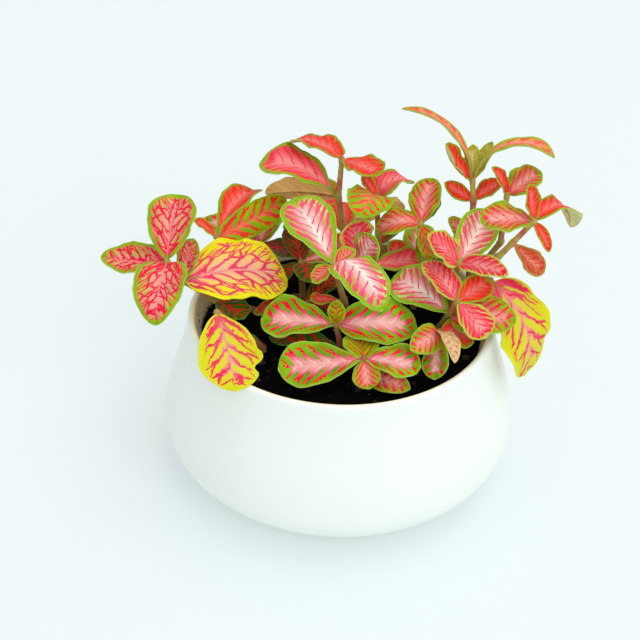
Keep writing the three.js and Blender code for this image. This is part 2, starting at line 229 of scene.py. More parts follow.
# Where the parts of the leaf patterns come in or fade, from a low limit to a high one
CLOUD_EDGE = (0.35, 0.65)
MOTTLE_EDGE = (0.42, 0.58)
TIP_FADE = (0.74, 0.97)
WASH_FADE = (0.1, 0.85)
BASE_FADE = (0.0, 0.35)
START_FADE = (-0.35, -0.08)
HEART_FADE = (0.03, 0.5)
HEART_BASE = (0.02, 0.3)
FINGER_ENDS = (0.4, 0.8)
FINGER_EDGE = (-0.04, 0.1)
STREAK_START = (0.12, 0.4)
STREAK_END = (0.6, 0.85)
MIDDLE_WIDTH = (0.004, 0.02)
MIDDLE_END = (0.65, 0.92)
NET_FADE = (0.9, 1.1)
FLECK_EDGE = (0.2, 0.32)
FLECK_PLACE = (0.1, 0.42)
RIM_EDGE = (0.12, 0.38)

# The leaves' patches of brightness, given as what they add and the least, their strength of colour,
# their gloss and grain, and the height and strength of their bumps
LEAF_PATCHES = (0.4, 0.8)
LEAF_SATURATION = 1.07
LEAF_GLOSS = 0.18
LEAF_GRAIN = 0.2
LEAF_BUMP = 0.0003
LEAF_BUMP_SHARE = 0.5
QUILT_EDGE = (0.0, 0.9)
QUILT_LINES = 0.3
QUILT_GRAIN = 0.5

# The underside's raised veins and midrib, its patches and gloss, and the strength of its bumps
RIDGE_EDGE = (0.1, 0.4)
RIDGE_MIDDLE = (0.01, 0.03)
RIDGE_SHARE = 0.8
UNDER_PATCHES = (0.5, 0.75)
UNDER_GLOSS = 0.25
UNDER_BUMP_SHARE = 0.8

# The angles up to which the edges of the pieces are shaded smooth, in degrees
POT_SMOOTH = 40
FINE_SMOOTH = 60
STEM_SMOOTH = 80

# The point that the lamps look at, in metres, and the width of the camera's film in millimetres
LAMP_AIM = (0.0, 0.0, 0.06)
FILM_WIDTH = 36.0


class Look(Enum):
    """What a leaf looks like."""

    GREEN = "green"
    PINK = "pink"
    PALE = "pale"
    RED = "red"
    YOUNG = "young"
    SHADE = "shade"
    YELLOW = "yellow"
    UNDER = "under"
    EDGE = "edge"
    DRY = "dry"
    FRESH = "fresh"
    SPARSE = "sparse"
    # A darker copy of the shade look: painted shade for the leaves deepest inside the plant
    DEEP = "deep_shade"
    BLUSH = "blush"
    OLIVE = "olive"
    CORAL = "coral"
    WITHERED = "withered"
    BUD = "bud"
    NETTED = "netted"


class Slot(Enum):
    """The record's material slots."""

    GLAZE = "pot_glaze"
    SOIL = "soil"
    GREEN = "foliage_green"
    PINK = "foliage_pink"
    PALE = "foliage_pale"
    YELLOW = "foliage_yellow"


def linear(colour: int) -> tuple[float, float, float, float]:
    """A colour as the shader's linear light.

    Args:
        colour: The colour written as 0xRRGGBB.

    Returns:
        Its red, green, blue and alpha.
    """
    shares = [(colour >> shift & 255) / 255 for shift in (16, 8, 0)]
    light = [
        s / LIGHT_SLOPE if s <= LIGHT_KNEE else ((s + LIGHT_OFFSET) / (1 + LIGHT_OFFSET)) ** LIGHT_POWER
        for s in shares
    ]
    return (*light, 1.0)


class Wires:
    """A material's node tree, with short calls for the nodes that a pattern needs."""

    def __init__(self, name: str) -> None:
        """Starts a material with one Principled shader.

        Args:
            name: The material's name.
        """
        self.made = bpy.data.materials.new(name)
        self.made.use_nodes = True
        self.tree = self.made.node_tree
        self.shader = self.tree.nodes["Principled BSDF"]

    def put(self, socket: bpy.types.NodeSocket, value: object) -> None:
        """Links an output to a socket, or sets the socket to a plain value.

        Args:
            socket: The input socket.
            value: An output socket, a number or a colour.
        """
        if isinstance(value, bpy.types.NodeSocket):
            self.tree.links.new(value, socket)
        else:
            socket.default_value = value

    def node(self, kind: str, **settings: object) -> bpy.types.Node:
        """A new node with some of its settings given.

        Args:
            kind: The node's type.
            settings: Its settings by name.

        Returns:
            The node.
        """
        made = self.tree.nodes.new(kind)
        for name, value in settings.items():
            setattr(made, name, value)
        return made

    def math(self, operation: str, *values: object) -> bpy.types.NodeSocket:
        """The result of a maths node.

        Args:
            operation: The node's operation.
            values: The values or outputs that it works on.

        Returns:
            The node's output.
        """
        made = self.node("ShaderNodeMath", operation=operation)
        for socket, value in zip(made.inputs, values):
            self.put(socket, value)
        return made.outputs[0]

    def add(self, first: object, second: object) -> bpy.types.NodeSocket:
        """The sum of two values."""
        return self.math("ADD", first, second)

    def times(self, first: object, second: object) -> bpy.types.NodeSocket:
        """The product of two values."""
        return self.math("MULTIPLY", first, second)

    def less(self, first: object, second: object) -> bpy.types.NodeSocket:
        """The first value less the second."""
        return self.math("SUBTRACT", first, second)

    def top(self, first: object, second: object) -> bpy.types.NodeSocket:
        """The greater of two values."""
        return self.math("MAXIMUM", first, second)

    def size(self, value: object) -> bpy.types.NodeSocket:
        """A value without its sign."""
        return self.math("ABSOLUTE", value)

    def rise(self, value: object, low: object, high: object) -> bpy.types.NodeSocket:
        """A smooth step from 0 where a value is low to 1 where it is high.

        Args:
            value: The value.
            low: The limit up to which the step is 0.
            high: The limit from which on the step is 1.

        Returns:
            The step.
        """
        made = self.node("ShaderNodeMapRange", interpolation_type="SMOOTHSTEP")
        for name, given in (("Value", value), ("From Min", low), ("From Max", high)):
            self.put(made.inputs[name], given)
        return made.outputs["Result"]

    def fall(self, value: object, low: object, high: object) -> bpy.types.NodeSocket:
        """A smooth step from 1 where the value is low to 0 where it is high."""
        return self.less(1.0, self.rise(value, low, high))

    def mix(self, share: object, first: object, second: object) -> bpy.types.NodeSocket:
        """A colour between two colours.

        Args:
            share: The second colour's share, from 0 to 1.
            first: The first colour.
            second: The second colour.

        Returns:
            The mixed colour.
        """
        made = self.node("ShaderNodeMix", data_type="RGBA")
        self.put(made.inputs[0], share)
        self.put(made.inputs[6], first)
        self.put(made.inputs[7], second)
        return made.outputs[2]

    def toned(
        self, colour: object, patch: object, tones: tuple[float, float], saturation: float = 1.0
    ) -> bpy.types.NodeSocket:
        """A colour made darker and lighter in patches.

        Args:
            colour: The colour.
            patch: The patches, from 0 to 1.
            tones: How much they add to the brightness, and the least brightness.
            saturation: The strength of the colour.

        Returns:
            The toned colour.
        """
        made = self.node("ShaderNodeHueSaturation")
        self.put(made.inputs["Color"], colour)
        self.put(made.inputs["Value"], self.add(self.times(patch, tones[0]), tones[1]))
        made.inputs["Saturation"].default_value = saturation
        return made.outputs["Color"]

    def parts(self, vector: object) -> tuple[bpy.types.NodeSocket, ...]:
        """The parts of a vector.

        Args:
            vector: The vector or colour.

        Returns:
            Its three values.
        """
        made = self.node("ShaderNodeSeparateXYZ")
        self.put(made.inputs[0], vector)
        return tuple(made.outputs)

    def vector(self, *values: object) -> bpy.types.NodeSocket:
        """A vector of three values.

        Args:
            values: Its three values.

        Returns:
            The vector.
        """
        made = self.node("ShaderNodeCombineXYZ")
        for socket, value in zip(made.inputs, values):
            self.put(socket, value)
        return made.outputs[0]

    def attribute(self, name: str) -> tuple[bpy.types.NodeSocket, ...]:
        """The three parts of a vector that the mesh carries at each point."""
        return self.parts(self.node("ShaderNodeAttribute", attribute_name=name).outputs["Vector"])

    def place(self) -> bpy.types.NodeSocket:
        """The place on the object, in metres."""
        return self.node("ShaderNodeTexCoord").outputs["Object"]

    def noise(
        self, vector: object, scale: float, detail: float = 2.0, rough: float = 0.5
    ) -> bpy.types.NodeSocket:
        """Smooth noise between 0 and 1.

        Args:
            vector: The place that it is read at.
            scale: How fine it is.
            detail: How many finer layers it has.
            rough: How strong the finer layers are.

        Returns:
            The noise.
        """
        made = self.node("ShaderNodeTexNoise")
        self.put(made.inputs["Vector"], vector)
        made.inputs["Scale"].default_value = scale
        made.inputs["Detail"].default_value = detail
        made.inputs["Roughness"].default_value = rough
        return made.outputs["Fac"]

    def cells(
        self, vector: object, scale: float, feature: str = "F1", output: str = "Distance"
    ) -> bpy.types.NodeSocket:
        """A pattern of irregular cells.

        Args:
            vector: The place that it is read at.
            scale: How fine it is.
            feature: What is measured, the nearest cell or the distance to its edge.
            output: The output that is read.

        Returns:
            The pattern's value.
        """
        made = self.node("ShaderNodeTexVoronoi", feature=feature)
        self.put(made.inputs["Vector"], vector)
        made.inputs["Scale"].default_value = scale
        return made.outputs[output]

    def bump(self, height: object, distance: float, strength: float) -> None:
        """Bumps the shader's surface.

        Args:
            height: The height at each place, from 0 to 1.
            distance: How high 1 is, in metres.
            strength: How much of it shows, from 0 to 1.
        """
        made = self.node("ShaderNodeBump")
        made.inputs["Strength"].default_value = strength
        made.inputs["Distance"].default_value = distance
        self.put(made.inputs["Height"], height)
        self.put(self.shader.inputs["Normal"], made.outputs[0])

    def finish(self, colour: object, roughness: object, **plain: object) -> bpy.types.Material:
        """Finishes the material.

        Args:
            colour: The shader's base colour.
            roughness: The shader's roughness.
            plain: Plain values of its other sockets, by their names with _ for a space.

        Returns:
            The material.
        """
        self.put(self.shader.inputs["Base Color"], colour)
        self.put(self.shader.inputs["Roughness"], roughness)
        for name, value in plain.items():
            self.shader.inputs[name.replace("_", " ")].default_value = value
        return self.made


class BladeWires(Wires):
    """A leaf face's node tree, with the places that its mesh carries.

    along is the share of the blade's length and out that of its half width, side is 1 on the left half
    and 0 on the right, and seed is the leaf's number. reach_out is the distance from the midrib as a
    share of the length, spot a place that each leaf has for itself, and start the place on the midrib
    that a side vein through this spot comes from. inset and inset_mm are the distance from the margin,
    as a share of the width and in millimetres.
    """

    def __init__(self, name: str, veins: float) -> None:
        """Starts the material and reads the places.

        Args:
            name: The material's name.
            veins: The side veins that a full-sized leaf has on each half.
        """
        super().__init__(name)
        across, self.along, self.seed = self.attribute("blade_share")
        side_place, self.inset, self.inset_mm = self.attribute("blade_place")
        self.veins = self.times(self.attribute("blade_size")[0], veins)
        self.out = self.size(across)
        self.side = self.math("GREATER_THAN", across, 0.0)
        self.reach_out = self.size(side_place)
        self.spot = self.vector(side_place, self.along, self.seed)
        slope = self.less(VEIN_SLOPE, self.times(self.along, VEIN_OPENING))
        bend = self.times(self.times(self.reach_out, self.reach_out), VEIN_BEND)
        self.start = self.less(self.less(self.along, self.times(self.reach_out, slope)), bend)

    def unsteady(self, scale: float) -> bpy.types.NodeSocket:
        """Smooth noise on the blade between -0.5 and 0.5."""
        return self.less(self.noise(self.spot, scale), 0.5)

    def phase(self, drift: object) -> bpy.types.NodeSocket:
        """Counts the side veins up to each place.

        Args:
            drift: How far the veins stray there, in veins.

        Returns:
            The count, whose whole part is the vein's number.
        """
        step = self.add(self.times(self.side, VEIN_STEP), drift)
        phase = self.add(self.times(self.start, self.veins), step)
        return self.add(phase, self.times(self.seed, LEAF_STEP))

    def between(self, phase: object, scales: tuple[float, float, float]) -> bpy.types.NodeSocket:
        """A place counted in veins, scaled along the blade, away from the midrib and from leaf to leaf."""
        away = self.times(self.times(self.reach_out, self.veins), scales[1])
        return self.vector(self.times(phase, scales[0]), away, self.times(self.seed, scales[2]))


@dataclass(frozen=True)
class SideVeins:
    """Where each place of an upper face lies among its side veins.

    phase counts the veins from the base. off_vein is the distance from the nearest vein, and off_branch
    that from the nearer of its two branches. gone is how far out along the vein the place is, left is
    what is left of the vein from there, and chances are three random numbers of the vein's own.
    """

    phase: bpy.types.NodeSocket
    off_vein: bpy.types.NodeSocket
    off_branch: bpy.types.NodeSocket
    gone: bpy.types.NodeSocket
    left: bpy.types.NodeSocket
    chances: tuple[bpy.types.NodeSocket, ...]


@dataclass(frozen=True)
class LeafFinish:
    """The colours and the vein pattern of one look of leaf.

    The blade is the ground colour, which turns into second in cloudy patches. The band runs along the
    margin, and the rim is the thin line on its very edge. Fingers are the broad feathered veins, whose
    colour runs from heart over finger to finger_end. They merge near the midrib, by fill as far out as
    fill_to, and near the leaf's base, by base_fill, and fork towards the margin. The wash tints the
    ground between them with the heart's colour, and the mottle clouds the heart with the fingers' own.
    Lines are the fine veins, which fade from line_reach on, and the net joins them into cells. The
    streak runs along the midrib in the heart's colour, and flecks are spots of the band's colour away
    from it. The veins are counted on each half of a full-sized leaf, and end at reach, give or take
    reach_spread. jag is how ragged the fingers are, and wander how far the veins stray.
    """

    blade: int
    second: int
    band: int
    rim: int
    heart: int
    finger: int
    finger_end: int
    line: int
    finger_width: float = 0.0
    fill: float = 0.6
    fill_to: float = 0.4
    base_fill: float = 0.3
    fork: float = 0.9
    wash: float = 0.0
    mottle: float = 0.0
    reach: float = 0.85
    reach_spread: float = 0.3
    line_width: float = 0.12
    line_reach: float = 0.75
    net_width: float = 0.0
    band_width: float = 0.06
    streak_width: float = 0.0
    fleck: float = 0.0
    veins: float = 7.0
    jag: float = 0.5
    wander: float = 1.0
    roughness: float = 0.5

    def side_veins(self, w: BladeWires) -> SideVeins:
        """Lays out the side veins and their branches.

        Args:
            w: The face's node tree.

        Returns:
            Where each place lies among them.
        """
        quick = w.times(w.unsteady(TWIST_SCALE), self.wander * TWIST_SHARE)
        phase = w.phase(w.add(w.times(w.unsteady(WOBBLE_SCALE), self.wander), quick))
        count = w.math("FLOOR", phase)
        signed = w.times(w.less(w.less(phase, count), 0.5), 2.0)
        chance = w.node("ShaderNodeTexWhiteNoise")
        w.put(chance.inputs["Vector"], w.vector(count, w.side, w.seed))
        chances = w.parts(chance.outputs["Color"])
        reach = w.add(w.times(w.less(chances[0], 0.5), self.reach_spread), self.reach)
        gone = w.top(w.math("DIVIDE", w.out, reach), w.rise(w.along, *TIP_FADE))
        fork_place = w.add(w.times(chances[2], FORK_SPREAD), FORK_START)
        parting = w.times(w.top(w.less(gone, fork_place), 0.0), self.fork)
        second = w.size(w.add(signed, w.times(parting, SECOND_BRANCH)))
        return SideVeins(
            phase=phase,
            off_vein=w.size(signed),
            off_branch=w.math("MINIMUM", w.size(w.less(signed, parting)), second),
            gone=gone,
            left=w.top(w.less(1.0, gone), 0.0),
            chances=chances,
        )

    def fingered(
        self, w: BladeWires, veins: SideVeins, fine: bpy.types.NodeSocket, ground: bpy.types.NodeSocket
    ) -> bpy.types.NodeSocket:
        """Lays the broad feathered veins on the ground colour.

        Args:
            w: The face's node tree.
            veins: Its side veins.
            fine: The fine noise that makes the fingers ragged.
            ground: The colour between them.

        Returns:
            The colour with its fingers.
        """
        width = w.times(w.add(w.times(veins.chances[1], FINGER_SPREAD), FINGER_LEAST), self.finger_width)
        finger = w.times(w.math("POWER", veins.left, FINGER_TAPER), width)
        merged = w.times(w.fall(veins.gone, 0.0, self.fill_to), self.fill)
        merged = w.add(merged, w.times(w.fall(w.along, *BASE_FADE), self.base_fill))
        merged = w.less(merged, w.times(w.fall(w.start, *START_FADE), START_CUT))
        edge = w.add(w.less(w.add(finger, merged), veins.off_branch), w.times(fine, self.jag))
        cloud = w.times(w.rise(w.noise(w.spot, MOTTLE_SCALE), *MOTTLE_EDGE), self.mottle)
        outer = w.top(w.rise(veins.gone, *HEART_FADE), cloud)
        inner = w.mix(outer, linear(self.heart), linear(self.finger))
        inner = w.mix(w.fall(w.along, *HEART_BASE), inner, linear(self.finger))
        ends = w.mix(w.rise(veins.gone, *FINGER_ENDS), inner, linear(self.finger_end))
        return w.mix(w.rise(edge, *FINGER_EDGE), ground, ends)

    def fine_lines(self, w: BladeWires, veins: SideVeins) -> bpy.types.NodeSocket:
        """Draws the fine veins and their net.

        Args:
            w: The face's node tree.
            veins: Its side veins.

        Returns:
            How much of them shows at each place, from 0 to 1.
        """
        width = w.times(w.add(w.times(veins.left, LINE_SPREAD), LINE_LEAST), self.line_width)
        thin = w.fall(veins.off_branch, width, self.line_width + LINE_EDGE)
        lines = w.times(thin, w.fall(veins.gone, self.line_reach, self.line_reach + LINE_FADE))
        if self.net_width == 0:
            return lines
        cells = w.cells(w.between(veins.phase, NET_CELLS), 1.0, "DISTANCE_TO_EDGE")
        net = w.fall(cells, self.net_width, self.net_width + NET_EDGE)
        return w.top(lines, w.times(net, w.fall(veins.gone, *NET_FADE)))

    def material(self, name: str) -> bpy.types.Material:
        """The upper face's material.

        Args:
            name: The material's name.

        Returns:
            A material that reads the blade's own place attributes.
        """
        w = BladeWires(name, self.veins)
        veins = self.side_veins(w)
        fine = w.unsteady(FINE_SCALE)
        broad = w.noise(w.spot, CLOUD_SCALE)

        colour = w.mix(w.rise(broad, *CLOUD_EDGE), linear(self.blade), linear(self.second))
        if self.wash > 0:
            colour = w.mix(w.times(w.fall(veins.gone, *WASH_FADE), self.wash), colour, linear(self.heart))
        if self.finger_width > 0:
            colour = self.fingered(w, veins, fine, colour)
        if self.streak_width > 0:
            streak = w.times(w.fall(w.reach_out, 0.0, self.streak_width), w.rise(w.along, *STREAK_START))
            streak = w.times(streak, w.fall(w.along, *STREAK_END))
            colour = w.mix(streak, colour, linear(self.heart))

        near, far = (self.band_width * share for share in BAND_EDGE)
        band = w.fall(w.add(w.inset, w.times(fine, BAND_RAGGED)), near, far)
        lines = self.fine_lines(w, veins)
        colour = w.mix(w.times(lines, w.less(1.0, w.times(band, BAND_HIDES))), colour, linear(self.line))
        middle = w.times(w.fall(w.reach_out, *MIDDLE_WIDTH), w.fall(w.along, *MIDDLE_END))
        colour = w.mix(w.times(middle, MIDDLE_SHARE), colour, linear(self.heart))
        if self.fleck > 0:
            spots = w.fall(w.cells(w.between(veins.phase, FLECK_CELLS), 1.0), *FLECK_EDGE)
            spots = w.times(spots, w.times(w.rise(w.out, *FLECK_PLACE), self.fleck))
            colour = w.mix(w.times(spots, w.less(1.0, lines)), colour, linear(self.band))
        colour = w.mix(band, colour, linear(self.band))
        colour = w.mix(w.times(w.fall(w.inset_mm, *RIM_EDGE), RIM_SHARE), colour, linear(self.rim))

        quilt = w.add(w.rise(veins.off_vein, *QUILT_EDGE), w.times(w.less(1.0, lines), QUILT_LINES))
        w.bump(w.add(quilt, w.times(fine, QUILT_GRAIN)), LEAF_BUMP, LEAF_BUMP_SHARE)
        toned = w.toned(colour, broad, LEAF_PATCHES, LEAF_SATURATION)
        rough = w.add(w.times(fine, LEAF_GRAIN), self.roughness)
        return w.finish(toned, rough, Specular_IOR_Level=LEAF_GLOSS)


@dataclass(frozen=True)
class UndersideFinish:
    """The paler lower face of a leaf, with raised veins."""

    blade: int
    vein: int
    roughness: float = 0.6

    def material(self, name: str) -> bpy.types.Material:
        """The lower face's material.

        Args:
            name: The material's name.

        Returns:
            A material that reads the blade's own place attributes.
        """
        w = BladeWires(name, PLAIN_VEINS)
        off_vein = w.times(w.size(w.less(w.math("FRACT", w.phase(0.0)), 0.5)), 2.0)
        ridge = w.top(w.fall(off_vein, *RIDGE_EDGE), w.fall(w.reach_out, *RIDGE_MIDDLE))
        colour = w.mix(w.times(ridge, RIDGE_SHARE), linear(self.blade), linear(self.vein))
        w.bump(ridge, LEAF_BUMP, UNDER_BUMP_SHARE)
        toned = w.toned(colour, w.noise(w.spot, WOBBLE_SCALE, detail=4.0), UNDER_PATCHES)
        return w.finish(toned, self.roughness, Specular_IOR_Level=UNDER_GLOSS)


LEAF_FINISHES = {
    Look.GREEN: LeafFinish(
        blade=0x62A006, second=0x86B80C, band=0x80B40A, rim=0xD4E88C, heart=0xF8BEB8, finger=0xEE6C80,
        finger_end=0xE82430, line=0xFAD2CA, line_reach=0.2, finger_width=0.5, fill=0.8, fill_to=0.66,
        reach=0.87, mottle=0.5, line_width=0.1, streak_width=0.03, veins=5.8, jag=1.1, wander=0.6,
    ),
    Look.PINK: LeafFinish(
        blade=0x88AC1C, second=0x9DB830, band=0x84A820, rim=0xC4D472, heart=0xF6B4A4, finger=0xF06C72,
        finger_end=0xE84244, line=0xE45060, finger_width=0.55, fill=0.85, fill_to=0.85, reach=0.92,
        line_width=0.08, mottle=0.4, fleck=0.45, veins=6.5, jag=1.1, wander=0.7,
    ),
    Look.PALE: LeafFinish(
        blade=0x98BC34, second=0xCCDC90, band=0x82B414, rim=0xD6EA8C, heart=0xFDE8DA, finger=0xF2848F,
        finger_end=0xE84A5E, line=0xE4607C, finger_width=0.38, fill=1.0, fill_to=1.0, base_fill=0.5,
        fork=1.4, mottle=0.55, reach=1.0, line_width=0.13, streak_width=0.06, fleck=0.65, veins=7.6,
        jag=1.1, wander=0.7, band_width=0.09,
    ),
    Look.RED: LeafFinish(
        blade=0x8C9A24, second=0xB07834, band=0x829E22, rim=0xC0C25A, heart=0xF2847A, finger=0xF05850,
        finger_end=0xEA403A, line=0xE84C50, finger_width=0.85, fill=0.9, fill_to=0.9, reach=0.98,
        line_width=0.08, band_width=0.07, fleck=0.25, jag=1.0,
    ),
    Look.BLUSH: LeafFinish(
        blade=0xEC6468, second=0xA0A834, band=0x86A822, rim=0xC8CC70, heart=0xFC9A98, finger=0xFA7078,
        finger_end=0xF04C58, line=0xE8505C, finger_width=0.85, fill=0.9, fill_to=0.9, reach=1.0,
        line_width=0.08, band_width=0.09, jag=1.0,
    ),
    Look.NETTED: LeafFinish(
        blade=0xDC9474, second=0xA4B440, band=0x86AC20, rim=0xC8D878, heart=0xF4A098, finger=0xEA5468,
        finger_end=0xE83C44, line=0xE44058, finger_width=0.34, fill=0.3, fill_to=0.5, base_fill=0.5,
        fork=1.5, wash=0.8, reach=0.94, reach_spread=0.2, line_width=0.06, net_width=0.03,
        band_width=0.08, fleck=0.85, veins=6.5, jag=0.7, wander=0.7,
    ),
    Look.OLIVE: LeafFinish(
        blade=0x88AA10, second=0x9AB61C, band=0x84AC10, rim=0xB4CC58, heart=0xF28468, finger=0xF0685A,
        finger_end=0xEA4834, line=0xE45048, finger_width=0.55, fill=0.35, fill_to=0.5, reach=0.95,
        line_width=0.05, veins=6.0, jag=0.6, wander=0.8,
    ),
    Look.CORAL: LeafFinish(
        blade=0xE4CC80, second=0xC8CC60, band=0xA8BC40, rim=0xD8DC88, heart=0xF4A09C, finger=0xEE6670,
        finger_end=0xE84854, line=0xE04058, finger_width=0.5, fill=1.0, fill_to=1.2, fork=1.3, mottle=0.7,
        reach=1.0, line_width=0.12, band_width=0.06, fleck=0.3, veins=7.4, jag=1.1, wander=0.7,
    ),
    Look.WITHERED: LeafFinish(
        blade=0xE0C08C, second=0xD8AC78, band=0xC8B068, rim=0xE8D8A0, heart=0xECC8A8, finger=0xE0A080,
        finger_end=0xE89490, line=0xC89060, finger_width=0.4, line_width=0.16, band_width=0.05,
        roughness=0.75,
    ),
    Look.YOUNG: LeafFinish(
        blade=0x9CB024, second=0xA8BC2C, band=0x94BC24, rim=0xD0DE74, heart=0xE88A58, finger=0xE4603C,
        finger_end=0xD4442C, line=0xD04030, finger_width=0.35, fill=0.3, reach=0.85, line_width=0.12,
        band_width=0.1, veins=6.0, jag=0.9,
    ),
    Look.BUD: LeafFinish(
        blade=0xD2D27C, second=0xB8B854, band=0xA0AC38, rim=0xC4CC74, heart=0xE4E0AC, finger=0xC89450,
        finger_end=0xB06830, line=0xC0A058, finger_width=0.3, line_width=0.2, band_width=0.14, veins=5.0,
    ),
    Look.FRESH: LeafFinish(
        blade=0xEC9C7C, second=0xE47C64, band=0x90BC20, rim=0xD0DE74, heart=0xF6A090, finger=0xEE5A54,
        finger_end=0xEA4640, line=0xE44044, finger_width=0.5, fill=0.35, reach=0.95, line_width=0.12,
        fleck=0.6, band_width=0.12, veins=8.0, jag=1.2,
    ),
    # The next two looks are dark green with red veins, darkened as painted shade for leaves inside the
    # plant; the second is darker still for the deepest ones
    Look.SHADE: LeafFinish(
        blade=0x2C6014, second=0x3A701A, band=0x3C741C, rim=0x8AAE4A, heart=0xE8483C, finger=0xE23C2C,
        finger_end=0xD0301C, line=0xD83828, finger_width=0.38, fill=0.4, reach=0.85, line_width=0.06,
        veins=5.0, jag=0.9, wander=0.8,
    ),
    Look.DEEP: LeafFinish(
        blade=0x1C380E, second=0x2C4C14, band=0x365C1A, rim=0x5A7A30, heart=0xD83024, finger=0xCC2C1C,
        finger_end=0xB8241A, line=0xB82418, finger_width=0.4, fill=0.4, fork=1.5, reach=0.95,
        line_width=0.06, veins=8.0, jag=1.3, wander=1.1,
    ),
    Look.YELLOW: LeafFinish(
        blade=0xF0E83C, second=0xECDC38, band=0xEAE430, rim=0xE4DE58, heart=0xF8A8A6, finger=0xF07484,
        finger_end=0xE8506A, line=0xE85270, finger_width=0.27, fill=0.2, fill_to=0.6, base_fill=0.5,
        fork=1.7, wash=0.7, reach=0.92, reach_spread=0.2, line_width=0.05, net_width=0.03,
        band_width=0.05, veins=6.5, jag=0.8, wander=0.6,
    ),
    Look.SPARSE: LeafFinish(
        blade=0xD8D43C, second=0xCCCE3C, band=0xD4D43C, rim=0xE0E468, heart=0xEC9C8C, finger=0xE86474,
        finger_end=0xE2485C, line=0xE04860, finger_width=0.4, fill=0.25, fill_to=0.4, base_fill=0.7,
        fork=1.9, wash=0.12, reach=0.86, reach_spread=0.2, line_width=0.06, band_width=0.05, veins=5.2,
        jag=0.35, wander=0.8,
    ),
    Look.UNDER: LeafFinish(
        blade=0xE0A85C, second=0xD49C48, band=0xB8A040, rim=0xD8C068, heart=0xE4AC78, finger=0xD8885C,
        finger_end=0xC87848, line=0xD0845A, line_width=0.2, band_width=0.08,
    ),
    Look.EDGE: LeafFinish(
        blade=0xD8A058, second=0xC8A040, band=0x92AA38, rim=0xB8C060, heart=0xF09C88, finger=0xEC7466,
        finger_end=0xE06050, line=0xE06A5C, finger_width=0.85, fill=0.7, line_width=0.12, band_width=0.12,
    ),
    Look.DRY: LeafFinish(
        blade=0xDC7C60, second=0xCC6A48, band=0xA88A44, rim=0xCDAC72, heart=0xE8927C, finger=0xE06C60,
        finger_end=0xCC5240, line=0xBE5048, finger_width=0.7, line_width=0.16, band_width=0.08,
        roughness=0.75,
    ),
}

UNDERSIDES = {
    Look.YELLOW: UndersideFinish(blade=0xD8D070, vein=0xE0A080),
    Look.SPARSE: UndersideFinish(blade=0xD8D070, vein=0xE0A080),
    # Partly the underside's own orange-tan and partly painted light shining through the thin leaf
    Look.UNDER: UndersideFinish(blade=0xFFC878, vein=0xFFDCA0),
    Look.DRY: UndersideFinish(blade=0xB48A62, vein=0xD0A880),
}
PLAIN_UNDERSIDE = UndersideFinish(blade=0xD8E29C, vein=0xE6D0A6)


@dataclass(frozen=True)
class StemFinish:
    """Brown stems with blushes, which turn tan between the heights of young_from, in metres."""

    young: int = 0xB4A450
    old: int = 0x9A7A3C
    blush: int = 0xB8604A
    young_from: tuple[float, float] = (0.07, 0.12)
    blush_edge: tuple[float, float] = (0.46, 0.66)
    blush_scale: float = 160.0
    grain_scale: float = 1200.0
    bump_height: float = 0.0002
    bump_share: float = 0.6
    roughness: float = 0.65
    gloss: float = 0.3

    def material(self) -> bpy.types.Material:
        """The stems' and stalks' material."""
        w = Wires("hairy_stem")
        place = w.place()
        height = w.parts(place)[2]
        colour = w.mix(w.rise(height, *self.young_from), linear(self.old), linear(self.young))
        blushes = w.rise(w.noise(place, self.blush_scale, detail=4.0), *self.blush_edge)
        colour = w.mix(blushes, colour, linear(self.blush))
        w.bump(w.noise(place, self.grain_scale, detail=3.0), self.bump_height, self.bump_share)
        return w.finish(colour, self.roughness, Specular_IOR_Level=self.gloss)


@dataclass(frozen=True)
class HairFinish:
    """Short pale hairs."""

    pale: int = 0xD6CDA0
    tan: int = 0xB4A070
    scale: float = 300.0
    roughness: float = 0.6

    def material(self) -> bpy.types.Material:
        """The hairs' material."""
        w = Wires("stem_hair")
        colour = w.mix(w.noise(w.place(), self.scale), linear(self.pale), linear(self.tan))
        return w.finish(colour, self.roughness)


